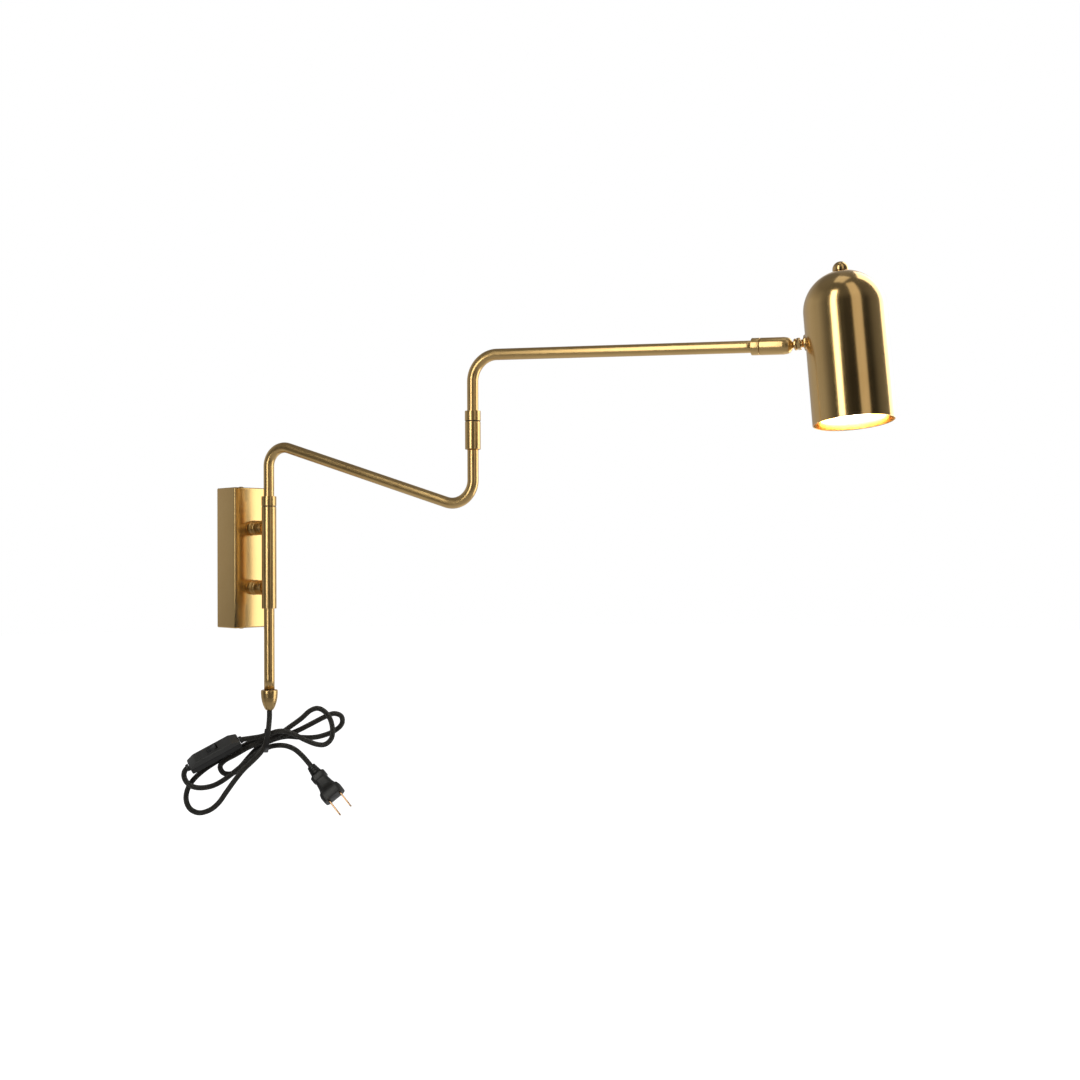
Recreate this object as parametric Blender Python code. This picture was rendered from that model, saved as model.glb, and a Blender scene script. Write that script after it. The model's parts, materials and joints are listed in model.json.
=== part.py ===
"""Swing arm wall sconce: wall box, two swinging arms, swivelling spot shade, cord with switch and plug.

Metres, +Z up. The origin is the centre of the wall box's back, the wall is the plane y = 0 and the
lamp stands out from it towards -Y. Every moving body hangs from an empty on its joint's axis.
"""

import math

import bmesh
import bpy
from mathutils import Matrix, Vector

GAP = 0.0003  # between pieces that touch
SIDES = 24  # round a small turned piece

# Wall box and the two posts that hold the sleeve
BOX_WIDTH = 0.041
BOX_DEPTH = 0.032
BOX_HEIGHT = 0.137
BOX_WALL = 0.0015
PLATE_WIDTH = 0.030
PLATE_THICK = 0.003
POST_HEIGHT = 0.029  # above and below the middle of the box
POST_RADIUS = 0.0074
BOLT_RADIUS = 0.002

# Sleeve, arms and elbow
AXIS_OUT = 0.0595  # from the wall to the sleeve's axis
SLEEVE_RADIUS = 0.007
SLEEVE_HALF = 0.049
BORE_RADIUS = 0.0062
BUSH_RADIUS = 0.00525
TUBE_RADIUS = 0.005
TUBE_INNER = 0.0038
REST_SWING = math.radians(20)  # of both arms from the wall's normal towards +X
LOWER_REACH = 0.220
LOWER_TOP = 0.112  # height of the upper corner of the lower arm
LOWER_SLOPE = math.radians(18)
LOWER_BENDS = (0.0175, 0.0205)
LOWER_END = -0.127
ELBOW_BOTTOM = 0.09575
ELBOW_SPLIT = 0.1204
UPPER_TOP = 0.180
UPPER_DROOP = math.radians(2.5)
UPPER_BEND = 0.023
UPPER_REACH = 0.282  # from the elbow's axis to the ball's centre

# Head
STEM_RISE = math.radians(5)
HEAD_ROLL = math.radians(-4)
SHADE_OUT = 0.0455  # from the ball's centre to the shade's axis
SHADE_RADIUS = 0.0315
SHADE_WALL = 0.001
SHADE_SHOULDER = 0.021  # where the dome starts, above the stem
SHADE_SKIRT = 0.090
BALL_RADIUS = 0.00455
STEM_RADIUS = 0.002

# Cord, switch and plug
CORD_RADIUS = 0.0025
CORD_STEP = 0.011
BUNDLE_TURN = math.radians(30)  # of the hanging bundle's plane about the sleeve's axis
SWITCH_SIZE = (0.051, 0.015, 0.0106)
BLADE_SPACING = 0.0127

# Points along the cord: across the bundle, towards the room, up.
UPPER_ROUTE = (
    (0.0000, 0.0000, -0.1471),
    (0.0000, 0.0006, -0.1520),
    (-0.0006, 0.0032, -0.1585),
    (-0.0016, 0.0070, -0.1650),
    (-0.0027, 0.0087, -0.1710),
    (-0.0046, 0.0090, -0.1780),
    (-0.0084, 0.0088, -0.1850),
    (-0.0150, 0.0078, -0.1922),
    (-0.0251, 0.0060, -0.2020),
    (-0.0334, 0.0034, -0.2127),
    (-0.0405, 0.0005, -0.2232),
    (-0.0476, -0.0028, -0.2337),
    (-0.0558, -0.0055, -0.2404),
    (-0.0655, -0.0075, -0.2426),
    (-0.0734, -0.0088, -0.2385),
    (-0.0770, -0.0096, -0.2300),
    (-0.0758, -0.0098, -0.2205),
    (-0.0705, -0.0098, -0.2115),
    (-0.0610, -0.0098, -0.2028),
    (-0.0480, -0.0098, -0.1945),
    (-0.0340, -0.0098, -0.1865),
    (-0.0200, -0.0098, -0.1796),
    (-0.0080, -0.0098, -0.1754),
    (0.0040, -0.0098, -0.1746),
    (0.0150, -0.0098, -0.1733),
    (0.0270, -0.0098, -0.1694),
    (0.0400, -0.0098, -0.1634),
    (0.0530, -0.0098, -0.1572),
    (0.0625, -0.0100, -0.1540),
    (0.0700, -0.0104, -0.1570),
    (0.0706, -0.0108, -0.1645),
    (0.0640, -0.0112, -0.1708),
    (0.0530, -0.0118, -0.1752),
    (0.0420, -0.0128, -0.1770),
    (0.0300, -0.0144, -0.1764),
    (0.0180, -0.0152, -0.1752),
    (0.0080, -0.0148, -0.1766),
    (-0.0030, -0.0130, -0.1803),
    (-0.0115, -0.0120, -0.1855),
    (-0.0190, -0.0116, -0.1930),
    (-0.0260, -0.0114, -0.2010),
    (-0.0340, -0.0110, -0.2075),
    (-0.0425, -0.0096, -0.2065),
    (-0.0458, -0.0070, -0.1995),
    (-0.0412, -0.0048, -0.1935),
    (-0.0320, -0.0044, -0.1888),
    (-0.0200, -0.0044, -0.1824),
    (-0.0090, -0.0044, -0.1785),
    (0.0000, -0.0044, -0.1757),
    (0.0100, -0.0044, -0.1708),
    (0.0204, -0.0042, -0.1638),
    (0.0306, -0.0036, -0.1566),
    (0.0385, -0.0028, -0.1496),
    (0.0460, -0.0020, -0.1472),
    (0.0530, -0.0013, -0.1508),
    (0.0582, -0.0007, -0.1585),
    (0.0602, 0.0000, -0.1682),
    (0.0590, 0.0004, -0.1768),
    (0.0530, 0.0007, -0.1822),
    (0.0450, 0.0009, -0.1818),
    (0.0350, 0.0010, -0.1776),
    (0.0255, 0.0010, -0.1724),
    (0.0165, 0.0010, -0.1682),
    (0.0080, 0.0010, -0.1674),
    (-0.0010, 0.0010, -0.1698),
    (-0.0090, 0.0010, -0.1718),
    (-0.0180, 0.0010, -0.1728),
    (-0.0268, 0.0010, -0.1737),
)
LOWER_ROUTE = (
    (-0.0752, 0.0010, -0.1976),
    (-0.0776, 0.0009, -0.1996),
    (-0.0790, 0.0006, -0.2036),
    (-0.0782, 0.0001, -0.2085),
    (-0.0750, -0.0008, -0.2134),
    (-0.0698, -0.0018, -0.2168),
    (-0.0620, -0.0030, -0.2182),
    (-0.0520, -0.0040, -0.2168),
    (-0.0420, -0.0044, -0.2118),
    (-0.0320, -0.0044, -0.2045),
    (-0.0216, -0.0044, -0.1962),
    (-0.0120, -0.0044, -0.1888),
    (-0.0040, -0.0044, -0.1843),
    (0.0050, -0.0044, -0.1819),
    (0.0150, -0.0044, -0.1824),
    (0.0237, -0.0056, -0.1862),
    (0.0305, -0.0062, -0.1922),
    (0.0364, -0.0033, -0.1990),
    (0.0392, 0.0000, -0.2027),
)


def clear_scene():
    for thing in list(bpy.data.objects):
        bpy.data.objects.remove(thing, do_unlink=True)


def material(name, colour, roughness, metallic=0.0):
    made = bpy.data.materials.new(name)
    made.use_nodes = True
    shader = made.node_tree.nodes["Principled BSDF"]
    shader.inputs["Base Color"].default_value = (*colour, 1.0)
    shader.inputs["Roughness"].default_value = roughness
    shader.inputs["Metallic"].default_value = metallic
    return made


def body_frame(name, matrix):
    """The empty that a body's pieces hang from, on the body's joint axis."""
    empty = bpy.data.objects.new(name, None)
    bpy.context.scene.collection.objects.link(empty)
    empty.matrix_world = matrix
    return empty


def piece(name, bm, frame, finish, place=None, smooth=True):
    """Makes bm the mesh of one named piece of the body that frame carries."""
    bmesh.ops.remove_doubles(bm, verts=bm.verts, dist=1e-7)
    bmesh.ops.recalc_face_normals(bm, faces=bm.faces)
    if bm.calc_volume(signed=True) < 0:
        bmesh.ops.reverse_faces(bm, faces=bm.faces)
    mesh = bpy.data.meshes.new(name)
    bm.to_mesh(mesh)
    bm.free()
    if smooth:
        mesh.shade_smooth()
        mesh.set_sharp_from_angle(angle=math.radians(35))
    return place_object(bpy.data.objects.new(name, mesh), frame, finish, place)


def place_object(made, frame, finish, place=None):
    bpy.context.scene.collection.objects.link(made)
    made.parent = frame
    if place is not None:
        made.matrix_basis = place
    made.data.materials.append(finish)
    return made


def cut(target, bm, place=None):
    """Takes the shape bm, given in the target's own body frame, out of the target."""
    count = sum(modifier.type == "BOOLEAN" for modifier in target.modifiers)
    cutter = piece(f"{target.name}_cutter_{count}", bm, target.parent, target.active_material, place)
    cutter.hide_render = True
    cutter.display_type = "WIRE"
    join(target, cutter, "DIFFERENCE")


def join(target, other, operation="UNION"):
    modifier = target.modifiers.new(operation.title(), "BOOLEAN")
    modifier.operation = operation
    modifier.solver = "EXACT"
    modifier.object = other


def add_shape(target, bm, place=None):
    """Fuses the shape bm, given in the target's own body frame, with the target."""
    count = sum(modifier.type == "BOOLEAN" for modifier in target.modifiers)
    other = piece(f"{target.name}_shape_{count}", bm, target.parent, target.active_material, place)
    other.hide_render = True
    other.display_type = "WIRE"
    join(target, other)


ALONG_X = Matrix.Rotation(math.pi / 2, 4, "Y")  # turns a piece made about +Z to lie along +X


def at(x=0.0, y=0.0, z=0.0):
    return Matrix.Translation((x, y, z))


def turned(outline, sides=SIDES):
    """A body of revolution about Z. The outline's points are (radius, height), and it closes itself."""
    bm = bmesh.new()
    ring = [bm.verts.new((radius, 0, height)) for radius, height in outline]
    for first, second in zip(ring, ring[1:] + ring[:1]):
        if max(first.co.x, second.co.x) > 0:  # a side that lies on the axis sweeps nothing
            bm.edges.new((first, second))
    bmesh.ops.spin(
        bm, geom=bm.verts[:] + bm.edges[:], cent=(0, 0, 0), axis=(0, 0, 1),
        angle=math.tau, steps=sides, use_merge=True,
    )
    return bm


def rod(radius, low, high, sides=SIDES):
    return turned(((0, low), (radius, low), (radius, high), (0, high)), sides)


def ring(outer, inner, low, high, sides=SIDES, edge=0.0):
    """A round ring or sleeve, with its outer corners taken off by edge."""
    if not edge:
        return turned(((inner, low), (outer, low), (outer, high), (inner, high)), sides)
    return turned(
        ((inner, low), (outer - edge, low), (outer, low + edge),
         (outer, high - edge), (outer - edge, high), (inner, high)), sides,
    )


def box(low, high, edge=0.0, segments=2, axes="XYZ"):
    """A block between two corners, with the edges that run along the given axes rounded."""
    bm = bmesh.new()
    size = Vector(high) - Vector(low)
    middle = (Vector(high) + Vector(low)) / 2
    bmesh.ops.create_cube(bm, size=1, matrix=Matrix.Translation(middle) @ Matrix.Diagonal((*size, 1)))
    if edge:
        bm.normal_update()
        chosen = []
        for side in bm.edges:
            run = side.verts[1].co - side.verts[0].co
            if "XYZ"[max(range(3), key=lambda axis: abs(run[axis]))] in axes:
                chosen.append(side)
        bmesh.ops.bevel(
            bm, geom=chosen, offset=edge, offset_type="OFFSET", segments=segments,
            profile=0.5, affect="EDGES", material=-1,
        )
    return bm


def flat_ring(bm, sides, radius, wall, place=Matrix.Identity(4)):
    """The faces of a flat ring about Z. radius is to its corners, and wall is the breadth of its sides."""
    bmesh.ops.create_circle(bm, cap_ends=True, segments=sides, radius=radius, matrix=place)
    middle = bm.faces[:]
    faces = bmesh.ops.inset_individual(bm, faces=middle, thickness=wall, use_even_offset=True)["faces"]
    bmesh.ops.delete(bm, geom=middle, context="FACES_ONLY")
    return faces


def raise_faces(bm, faces, move):
    """Extrudes faces by move, and gives the faces at the far end."""
    edges = list({edge for face in faces for edge in face.edges})
    grown = bmesh.ops.extrude_face_region(bm, geom=edges + faces)["geom"]
    verts = [part for part in grown if isinstance(part, bmesh.types.BMVert)]
    bmesh.ops.translate(bm, verts=verts, vec=move)
    return [part for part in grown if isinstance(part, bmesh.types.BMFace)]


def hexagon(radius, inner, low, high):
    """A hexagon nut about Z: radius is to its corners, and inner to the flats of its hole."""
    bm = bmesh.new()
    faces = flat_ring(bm, 6, radius, radius * math.cos(math.pi / 6) - inner, Matrix.Translation((0, 0, low)))
    raise_faces(bm, faces, (0, 0, high - low))
    return bm


def pan_screw(head_radius, head_height, shank_radius, length):
    """A screw about Z whose head stands on z = 0 and whose shank runs down."""
    return turned(
        ((0, -length), (shank_radius, -length), (shank_radius, 0), (head_radius, 0),
         (head_radius, head_height * 0.5), (head_radius * 0.6, head_height), (0, head_height)), 16,
    )


def drawn_tube(start, heading, steps):
    """A hollow tube in the XZ plane. A step is (length,) or (bend radius, turn), turning up from +X."""
    bm = bmesh.new()
    point = Vector(start)
    place = Matrix.Translation(point) @ Matrix.Rotation(math.pi / 2 - heading, 4, "Y")
    faces = flat_ring(bm, SIDES, TUBE_RADIUS, TUBE_RADIUS - TUBE_INNER, place)
    for step in steps:
        if len(step) == 1:
            move = step[0] * Vector((math.cos(heading), 0, math.sin(heading)))
            faces = raise_faces(bm, faces, move)
            point += move
            continue
        radius, turn = step
        side = math.copysign(radius, turn)
        centre = point + side * Vector((-math.sin(heading), 0, math.cos(heading)))
        edges = list({edge for face in faces for edge in face.edges})
        grown = bmesh.ops.spin(
            bm, geom=edges + faces, cent=centre, axis=(0, -1, 0), angle=turn,
            steps=round(abs(turn) / math.radians(12)), use_merge=False,
        )["geom_last"]
        faces = [part for part in grown if isinstance(part, bmesh.types.BMFace)]
        heading += turn
        point = centre + side * Vector((math.sin(heading), 0, -math.cos(heading)))
    return bm


def smooth_route(points, spacing):
    """Points a given distance apart on the Catmull-Rom curve through the route's points."""
    points = [Vector(point) for point in points]
    ends = [2 * points[0] - points[1]] + points + [2 * points[-1] - points[-2]]
    fine = []
    for a, b, c, d in zip(ends, ends[1:], ends[2:], ends[3:]):
        for step in range(20):
            t = step / 20
            fine.append(
                0.5 * (2 * b + (c - a) * t + (2 * a - 5 * b + 4 * c - d) * t**2
                       + (3 * b - a - 3 * c + d) * t**3)
            )
    fine.append(points[-1])
    lengths = [0.0]
    for first, second in zip(fine, fine[1:]):
        lengths.append(lengths[-1] + (second - first).length)
    count = round(lengths[-1] / spacing)
    chosen = []
    index = 0
    for number in range(count + 1):
        wanted = lengths[-1] * number / count
        while index < len(fine) - 2 and lengths[index + 1] < wanted:
            index += 1
        share = (wanted - lengths[index]) / (lengths[index + 1] - lengths[index])
        chosen.append(fine[index].lerp(fine[index + 1], min(share, 1.0)))
    return chosen


def tube_curve(name, points, radius, frame, finish, resolution=2):
    """A solid round cord through points, which are in the frame's own coordinates."""
    curve = bpy.data.curves.new(name, "CURVE")
    curve.dimensions = "3D"
    curve.bevel_depth = radius
    curve.bevel_resolution = resolution
    curve.use_fill_caps = True
    spline = curve.splines.new("POLY")
    spline.points.add(len(points) - 1)
    for target, point in zip(spline.points, points):
        target.co = (*point, 1)
    return place_object(bpy.data.objects.new(name, curve), frame, finish)




def satin_brass(name):
    return material(name, (0.60, 0.42, 0.18), 0.28, 1.0)


def steel(name):
    return material(name, (0.55, 0.55, 0.56), 0.4, 1.0)


def black_plastic(name):
    return material(name, (0.02, 0.02, 0.02), 0.45)


def nylon(name):
    return material(name, (0.75, 0.73, 0.68), 0.5)


def wall_base(frame):
    """The bracket on the wall, the box that covers it, and the posts that carry the sleeve."""
    half_height = BOX_HEIGHT / 2
    inner_height = half_height - BOX_WALL - GAP
    bracket = piece(
        "wall_bracket",
        box((-PLATE_WIDTH / 2, -PLATE_THICK, -inner_height), (PLATE_WIDTH / 2, 0, inner_height)),
        frame, steel("bracket_steel"), smooth=False,
    )
    for side in (-1, 1):
        ear_low, ear_high = sorted((side * (inner_height - 0.002), side * inner_height))
        add_shape(bracket, box((-0.008, -0.016, ear_low), (0.008, -0.001, ear_high)))
        cut(bracket, rod(0.0018, -0.004, 0.004, 12), at(0, -0.011, side * inner_height))
        wall_hole = at(0, 0, side * 0.045) @ Matrix.Rotation(math.pi / 2, 4, "X")
        cut(bracket, rod(0.0024, -0.005, 0.005, 12), wall_hole)

    half_width = BOX_WIDTH / 2
    cover = piece(
        "wall_box_cover",
        box((-half_width, -BOX_DEPTH, -half_height), (half_width, 0.0, half_height), 0.0008, 2),
        frame, satin_brass("cover_brass"),
    )
    cut(cover, box(
        (BOX_WALL - half_width, BOX_WALL - BOX_DEPTH, BOX_WALL - half_height),
        (half_width - BOX_WALL, 0.01, half_height - BOX_WALL),
    ))
    cut(cover, box((-0.03, -0.0009, -0.08), (0.03, 0.01, 0.08)))
    for name, side in (("top", 1), ("bottom", -1)):
        cut(cover, rod(0.0018, -0.004, 0.004, 12), at(0, -0.011, side * half_height))
        turn = Matrix.Rotation(0 if side > 0 else math.pi, 4, "X")
        piece(
            f"cover_screw_{name}", pan_screw(0.0028, 0.0016, 0.0014, 0.006), frame,
            satin_brass(f"cover_screw_{name}_brass"), at(0, -0.011, side * (half_height + GAP)) @ turn,
        )

    into_room = Matrix.Rotation(math.pi / 2, 4, "X")  # lays a piece made along +Z along -Y
    inside = BOX_DEPTH - BOX_WALL - GAP
    backing = piece(
        "backing_plate", box((-0.013, -inside, -0.040), (0.013, 0.002 - inside, 0.040)),
        frame, steel("backing_steel"), smooth=False,
    )
    sleeve_face = AXIS_OUT - SLEEVE_RADIUS
    for name, height in (("upper", POST_HEIGHT), ("lower", -POST_HEIGHT)):
        here = at(0, 0, height) @ into_room
        cut(backing, rod(BOLT_RADIUS + GAP, 0, 0.05, 12), here)
        cut(cover, rod(BOLT_RADIUS + GAP, 0.02, 0.05, 12), here)
        piece(
            f"standoff_ring_{name}",
            ring(POST_RADIUS, BOLT_RADIUS + GAP, BOX_DEPTH + GAP, BOX_DEPTH + 0.007, edge=0.0004),
            frame, satin_brass(f"ring_{name}_brass"), here,
        )
        post = piece(
            f"standoff_post_{name}",
            ring(POST_RADIUS - 0.0002, BOLT_RADIUS + GAP, BOX_DEPTH + 0.007 + GAP, sleeve_face + 0.0016),
            frame, satin_brass(f"post_{name}_brass"), here,
        )
        cut(post, rod(SLEEVE_RADIUS + GAP, height - 0.02, height + 0.02, 48), at(0, -AXIS_OUT, 0))
        bolt_head = inside - 0.002 - GAP
        piece(
            f"standoff_bolt_{name}",
            pan_screw(0.004, 0.0026, BOLT_RADIUS, sleeve_face - bolt_head - 0.0008), frame,
            steel(f"bolt_{name}_steel"), at(0, -bolt_head, height) @ Matrix.Rotation(-math.pi / 2, 4, "X"),
        )

    here = at(0, -AXIS_OUT, 0)
    piece("base_sleeve", ring(SLEEVE_RADIUS, BORE_RADIUS, -SLEEVE_HALF, SLEEVE_HALF),
          frame, satin_brass("sleeve_brass"), here)
    for name, low in (("upper", 0.0337), ("lower", -0.0467)):
        piece(f"base_bush_{name}", ring(BORE_RADIUS - GAP, BUSH_RADIUS, low, low + 0.015),
              frame, nylon(f"base_bush_{name}_nylon"), here)


def lower_arm(frame):
    """One bent tube from the acorn up through the base sleeve and out to the elbow."""
    corner = math.pi / 2 + LOWER_SLOPE
    high_tangent, low_tangent = (bend * math.tan(corner / 2) for bend in LOWER_BENDS)
    elbow_corner = LOWER_TOP - LOWER_REACH * math.tan(LOWER_SLOPE)
    tube_top = ELBOW_BOTTOM + 0.007
    steps = (
        (LOWER_TOP - high_tangent - LOWER_END,),
        (LOWER_BENDS[0], -corner),
        (LOWER_REACH / math.cos(LOWER_SLOPE) - high_tangent - low_tangent,),
        (LOWER_BENDS[1], corner),
        (tube_top - elbow_corner - low_tangent,),
    )
    piece("lower_arm_tube", drawn_tube((0, 0, LOWER_END), math.pi / 2, steps),
          frame, satin_brass("lower_tube_brass"))

    collar = piece("base_collar", ring(0.0071, BUSH_RADIUS, 0.0498, 0.059, edge=0.0003),
                   frame, satin_brass("collar_brass"))
    screw_way = at(0, 0, 0.0544) @ Matrix.Rotation(math.pi, 4, "Z") @ ALONG_X
    cut(collar, rod(0.0015, 0.0, 0.010, 12), screw_way)
    piece("collar_grub_screw", rod(0.0012, TUBE_RADIUS + GAP, 0.0068, 12),
          frame, steel("grub_steel"), screw_way)
    piece("base_washer", ring(0.0066, BUSH_RADIUS, 0.0492, 0.0496), frame, black_plastic("base_washer_black"))
    piece("tube_circlip", ring(0.0058, BUSH_RADIUS, -0.0484, -0.0472), frame, steel("circlip_steel"))
    piece("finial_nipple", ring(0.0035, 0.0029, -0.136, -0.119), frame, steel("nipple_steel"))
    piece(
        "acorn_finial",
        turned((
            (0.0038, -0.1273), (0.0074, -0.1273), (0.0080, -0.1279), (0.0080, -0.1300), (0.0078, -0.1340),
            (0.0071, -0.1380), (0.0060, -0.1415), (0.0047, -0.1445), (0.0036, -0.1462), (0.0030, -0.1468),
            (0.0027, -0.1462), (0.0027, -0.1372), (0.0038, -0.1366),
        )), frame, satin_brass("acorn_brass"),
    )

    elbow = at(LOWER_REACH)
    piece(
        "elbow_sleeve",
        turned((
            (BUSH_RADIUS, ELBOW_BOTTOM), (0.0067, ELBOW_BOTTOM), (SLEEVE_RADIUS, ELBOW_BOTTOM + 0.0003),
            (SLEEVE_RADIUS, ELBOW_SPLIT - 0.0003), (0.0067, ELBOW_SPLIT), (BORE_RADIUS, ELBOW_SPLIT),
            (BORE_RADIUS, 0.1040), (BUSH_RADIUS, 0.1035),
        )), frame, satin_brass("elbow_sleeve_brass"), elbow,
    )
    piece("elbow_bush", ring(BORE_RADIUS - GAP, BUSH_RADIUS, 0.1085, 0.1200),
          frame, nylon("elbow_bush_nylon"), elbow)

    lead_rise = elbow_corner + 0.004
    lead = (
        (0, 0, -0.1460), (0, 0, -0.05), (0, 0, 0.06), (0, 0, 0.088), (0.003, 0, 0.100),
        (0.013, 0, 0.106), (0.030, 0, 0.1022), (0.075, 0, 0.0876), (0.120, 0, 0.0730),
        (0.165, 0, 0.0584), (0.195, 0, lead_rise + 0.0037), (0.208, 0, 0.0480), (0.216, 0, 0.0560),
        (0.2195, 0, 0.0660), (LOWER_REACH, 0, 0.080), (LOWER_REACH, 0, 0.1030),
    )
    tube_curve("lower_arm_lead", lead, 0.0016, frame, black_plastic("lower_lead_black"))


def cord_bundle(frame):
    """The cord that leaves the acorn, tied up in hanging loops, with its switch and its plug."""
    hanging = Matrix.Rotation(math.pi / 2 - REST_SWING, 4, "Z") @ Matrix.Rotation(-BUNDLE_TURN, 4, "Z")

    def in_bundle(across, out, up):
        """A point of the bundle, in the lower arm's frame."""
        return hanging @ Vector((across, -out, up))

    for name, route in (("cord_upper", UPPER_ROUTE), ("cord_lower", LOWER_ROUTE)):
        points = [in_bundle(*point) for point in smooth_route(route, CORD_STEP)]
        tube_curve(name, points, CORD_RADIUS, frame, material(f"{name}_braid", (0.025, 0.023, 0.02), 0.7))

    half_out, half_up, wall = 0.0103, 0.0112, 0.0007
    outer = (half_out + wall, half_up + wall)
    waist = hanging @ at(-0.0030, 0.0059, -0.1774)
    band = box((-0.0018, -outer[0], -outer[1]), (0.0018, *outer), 0.0058, 3, "X")
    tie = piece("cord_tie", band, frame, black_plastic("tie_black"), waist)
    cut(tie, box((-0.01, -half_out, -half_up), (0.01, half_out, half_up), 0.0050, 3, "X"), waist)
    return hanging


def switch(frame, rocker_frame, place, rocker_angle):
    """The line switch: its two half shells, and the rocker on its pin."""
    long, wide, high = (size / 2 for size in SWITCH_SIZE)
    wall = 0.0014
    entries = rod(CORD_RADIUS + 0.0002, -0.04, 0.04, 16)
    for name, low, inner_low, high_up, inner_high in (
        ("switch_base", -high, wall - high, -GAP / 2, 0.02),
        ("switch_cover", GAP / 2, -0.02, high, high - wall),
    ):
        shell = piece(name, box((-long, -wide, low), (long, wide, high_up), 0.0030, 3, "Z"),
                      frame, black_plastic(f"{name}_black"), place)
        cut(shell, box((wall - long, wall - wide, inner_low), (long - wall, wide - wall, inner_high)), place)
        cut(shell, entries.copy(), place @ ALONG_X)
    entries.free()
    cut(shell, box((-0.0056, -0.0036, 0), (0.0056, 0.0036, 0.02)), place)

    piece("switch_contacts", box((-0.016, -0.0045, wall - high + GAP), (0.016, 0.0045, -0.0020)),
          frame, material("contact_brass", (0.7, 0.5, 0.25), 0.35, 1.0), place)
    across = Matrix.Rotation(math.pi / 2, 4, "X")
    pivot = at(0, 0, 0.0028)
    piece("rocker_pin", rod(0.0006, -0.0058, 0.0058, 12),
          frame, steel("rocker_pin_steel"), place @ pivot @ across)
    bm = bmesh.new()
    outline = (
        (-0.0047, 0.0008), (-0.0018, -0.0022), (0.0018, -0.0022), (0.0047, 0.0008),
        (0.0047, 0.0036), (0.0022, 0.0028), (-0.0022, 0.0028), (-0.0047, 0.0036),
    )
    side = bm.faces.new([bm.verts.new((x, -0.0032, z)) for x, z in outline])
    raise_faces(bm, [side], (0, 0.0064, 0))
    tilt = Matrix.Rotation(rocker_angle, 4, "Y")
    rocker = piece("switch_rocker", bm, rocker_frame, black_plastic("rocker_black"), tilt)
    cut(rocker, rod(0.0009, -0.01, 0.01, 12), tilt @ across)


def plug(frame, place):
    """The moulded two-blade plug, along +X from where the cord enters."""
    outline = [(0, 2 * GAP), (0.0038, 2 * GAP)]
    for index in range(4):
        low = 0.0009 + index * 0.0025
        radius = 0.0043 + index * 0.0004
        groove = radius - 0.0006
        outline += [(radius, low), (radius, low + 0.0016), (groove, low + 0.0018), (groove, low + 0.0024)]
    outline += [(0.0052, 0.0108), (0, 0.0108)]
    piece("plug_relief", turned(outline, 16), frame, black_plastic("relief_black"), place @ ALONG_X)

    sections = (  # distance along the plug, width and height
        (0.0111, 0.0140, 0.0098), (0.0120, 0.0154, 0.0110), (0.0172, 0.0154, 0.0112),
        (0.0180, 0.0134, 0.0104), (0.0300, 0.0176, 0.0124), (0.0312, 0.0205, 0.0146),
        (0.0350, 0.0222, 0.0152), (0.0410, 0.0218, 0.0150),
    )
    bm = bmesh.new()
    ring_before = None
    for out, width, height in sections:
        section = rounded_section(bm, out, width, height, 0.0040)
        if ring_before:
            bmesh.ops.bridge_loops(bm, edges=ring_before + section)
        else:
            bmesh.ops.edgeloop_fill(bm, edges=section)
        ring_before = section
    bmesh.ops.edgeloop_fill(bm, edges=ring_before)
    body = piece("plug_body", bm, frame, black_plastic("plug_black"), place)
    for name, side in (("a", 1), ("b", -1)):
        y = side * BLADE_SPACING / 2
        cut(body, box((0.0350, y - 0.0011, -0.0035), (0.05, y + 0.0011, 0.0035)), place)
        piece(f"plug_blade_{name}", box((0.0353, y - 0.00075, -0.0032), (0.0581, y + 0.00075, 0.0032)),
              frame, material(f"blade_{name}_brass", (0.62, 0.42, 0.22), 0.3, 1.0), place)


def rounded_section(bm, out, width, height, corner):
    """The edges of a rounded rectangle across X, at x = out."""
    centres = ((1, 1, 0), (-1, 1, 90), (-1, -1, 180), (1, -1, 270))
    verts = []
    for side_y, side_z, start in centres:
        for step in range(4):
            angle = math.radians(start + 30 * step)
            verts.append(bm.verts.new((
                out, side_y * (width / 2 - corner) + corner * math.cos(angle),
                side_z * (height / 2 - corner) + corner * math.sin(angle),
            )))
    return [bm.edges.new(pair) for pair in zip(verts, verts[1:] + verts[:1])]


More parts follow.
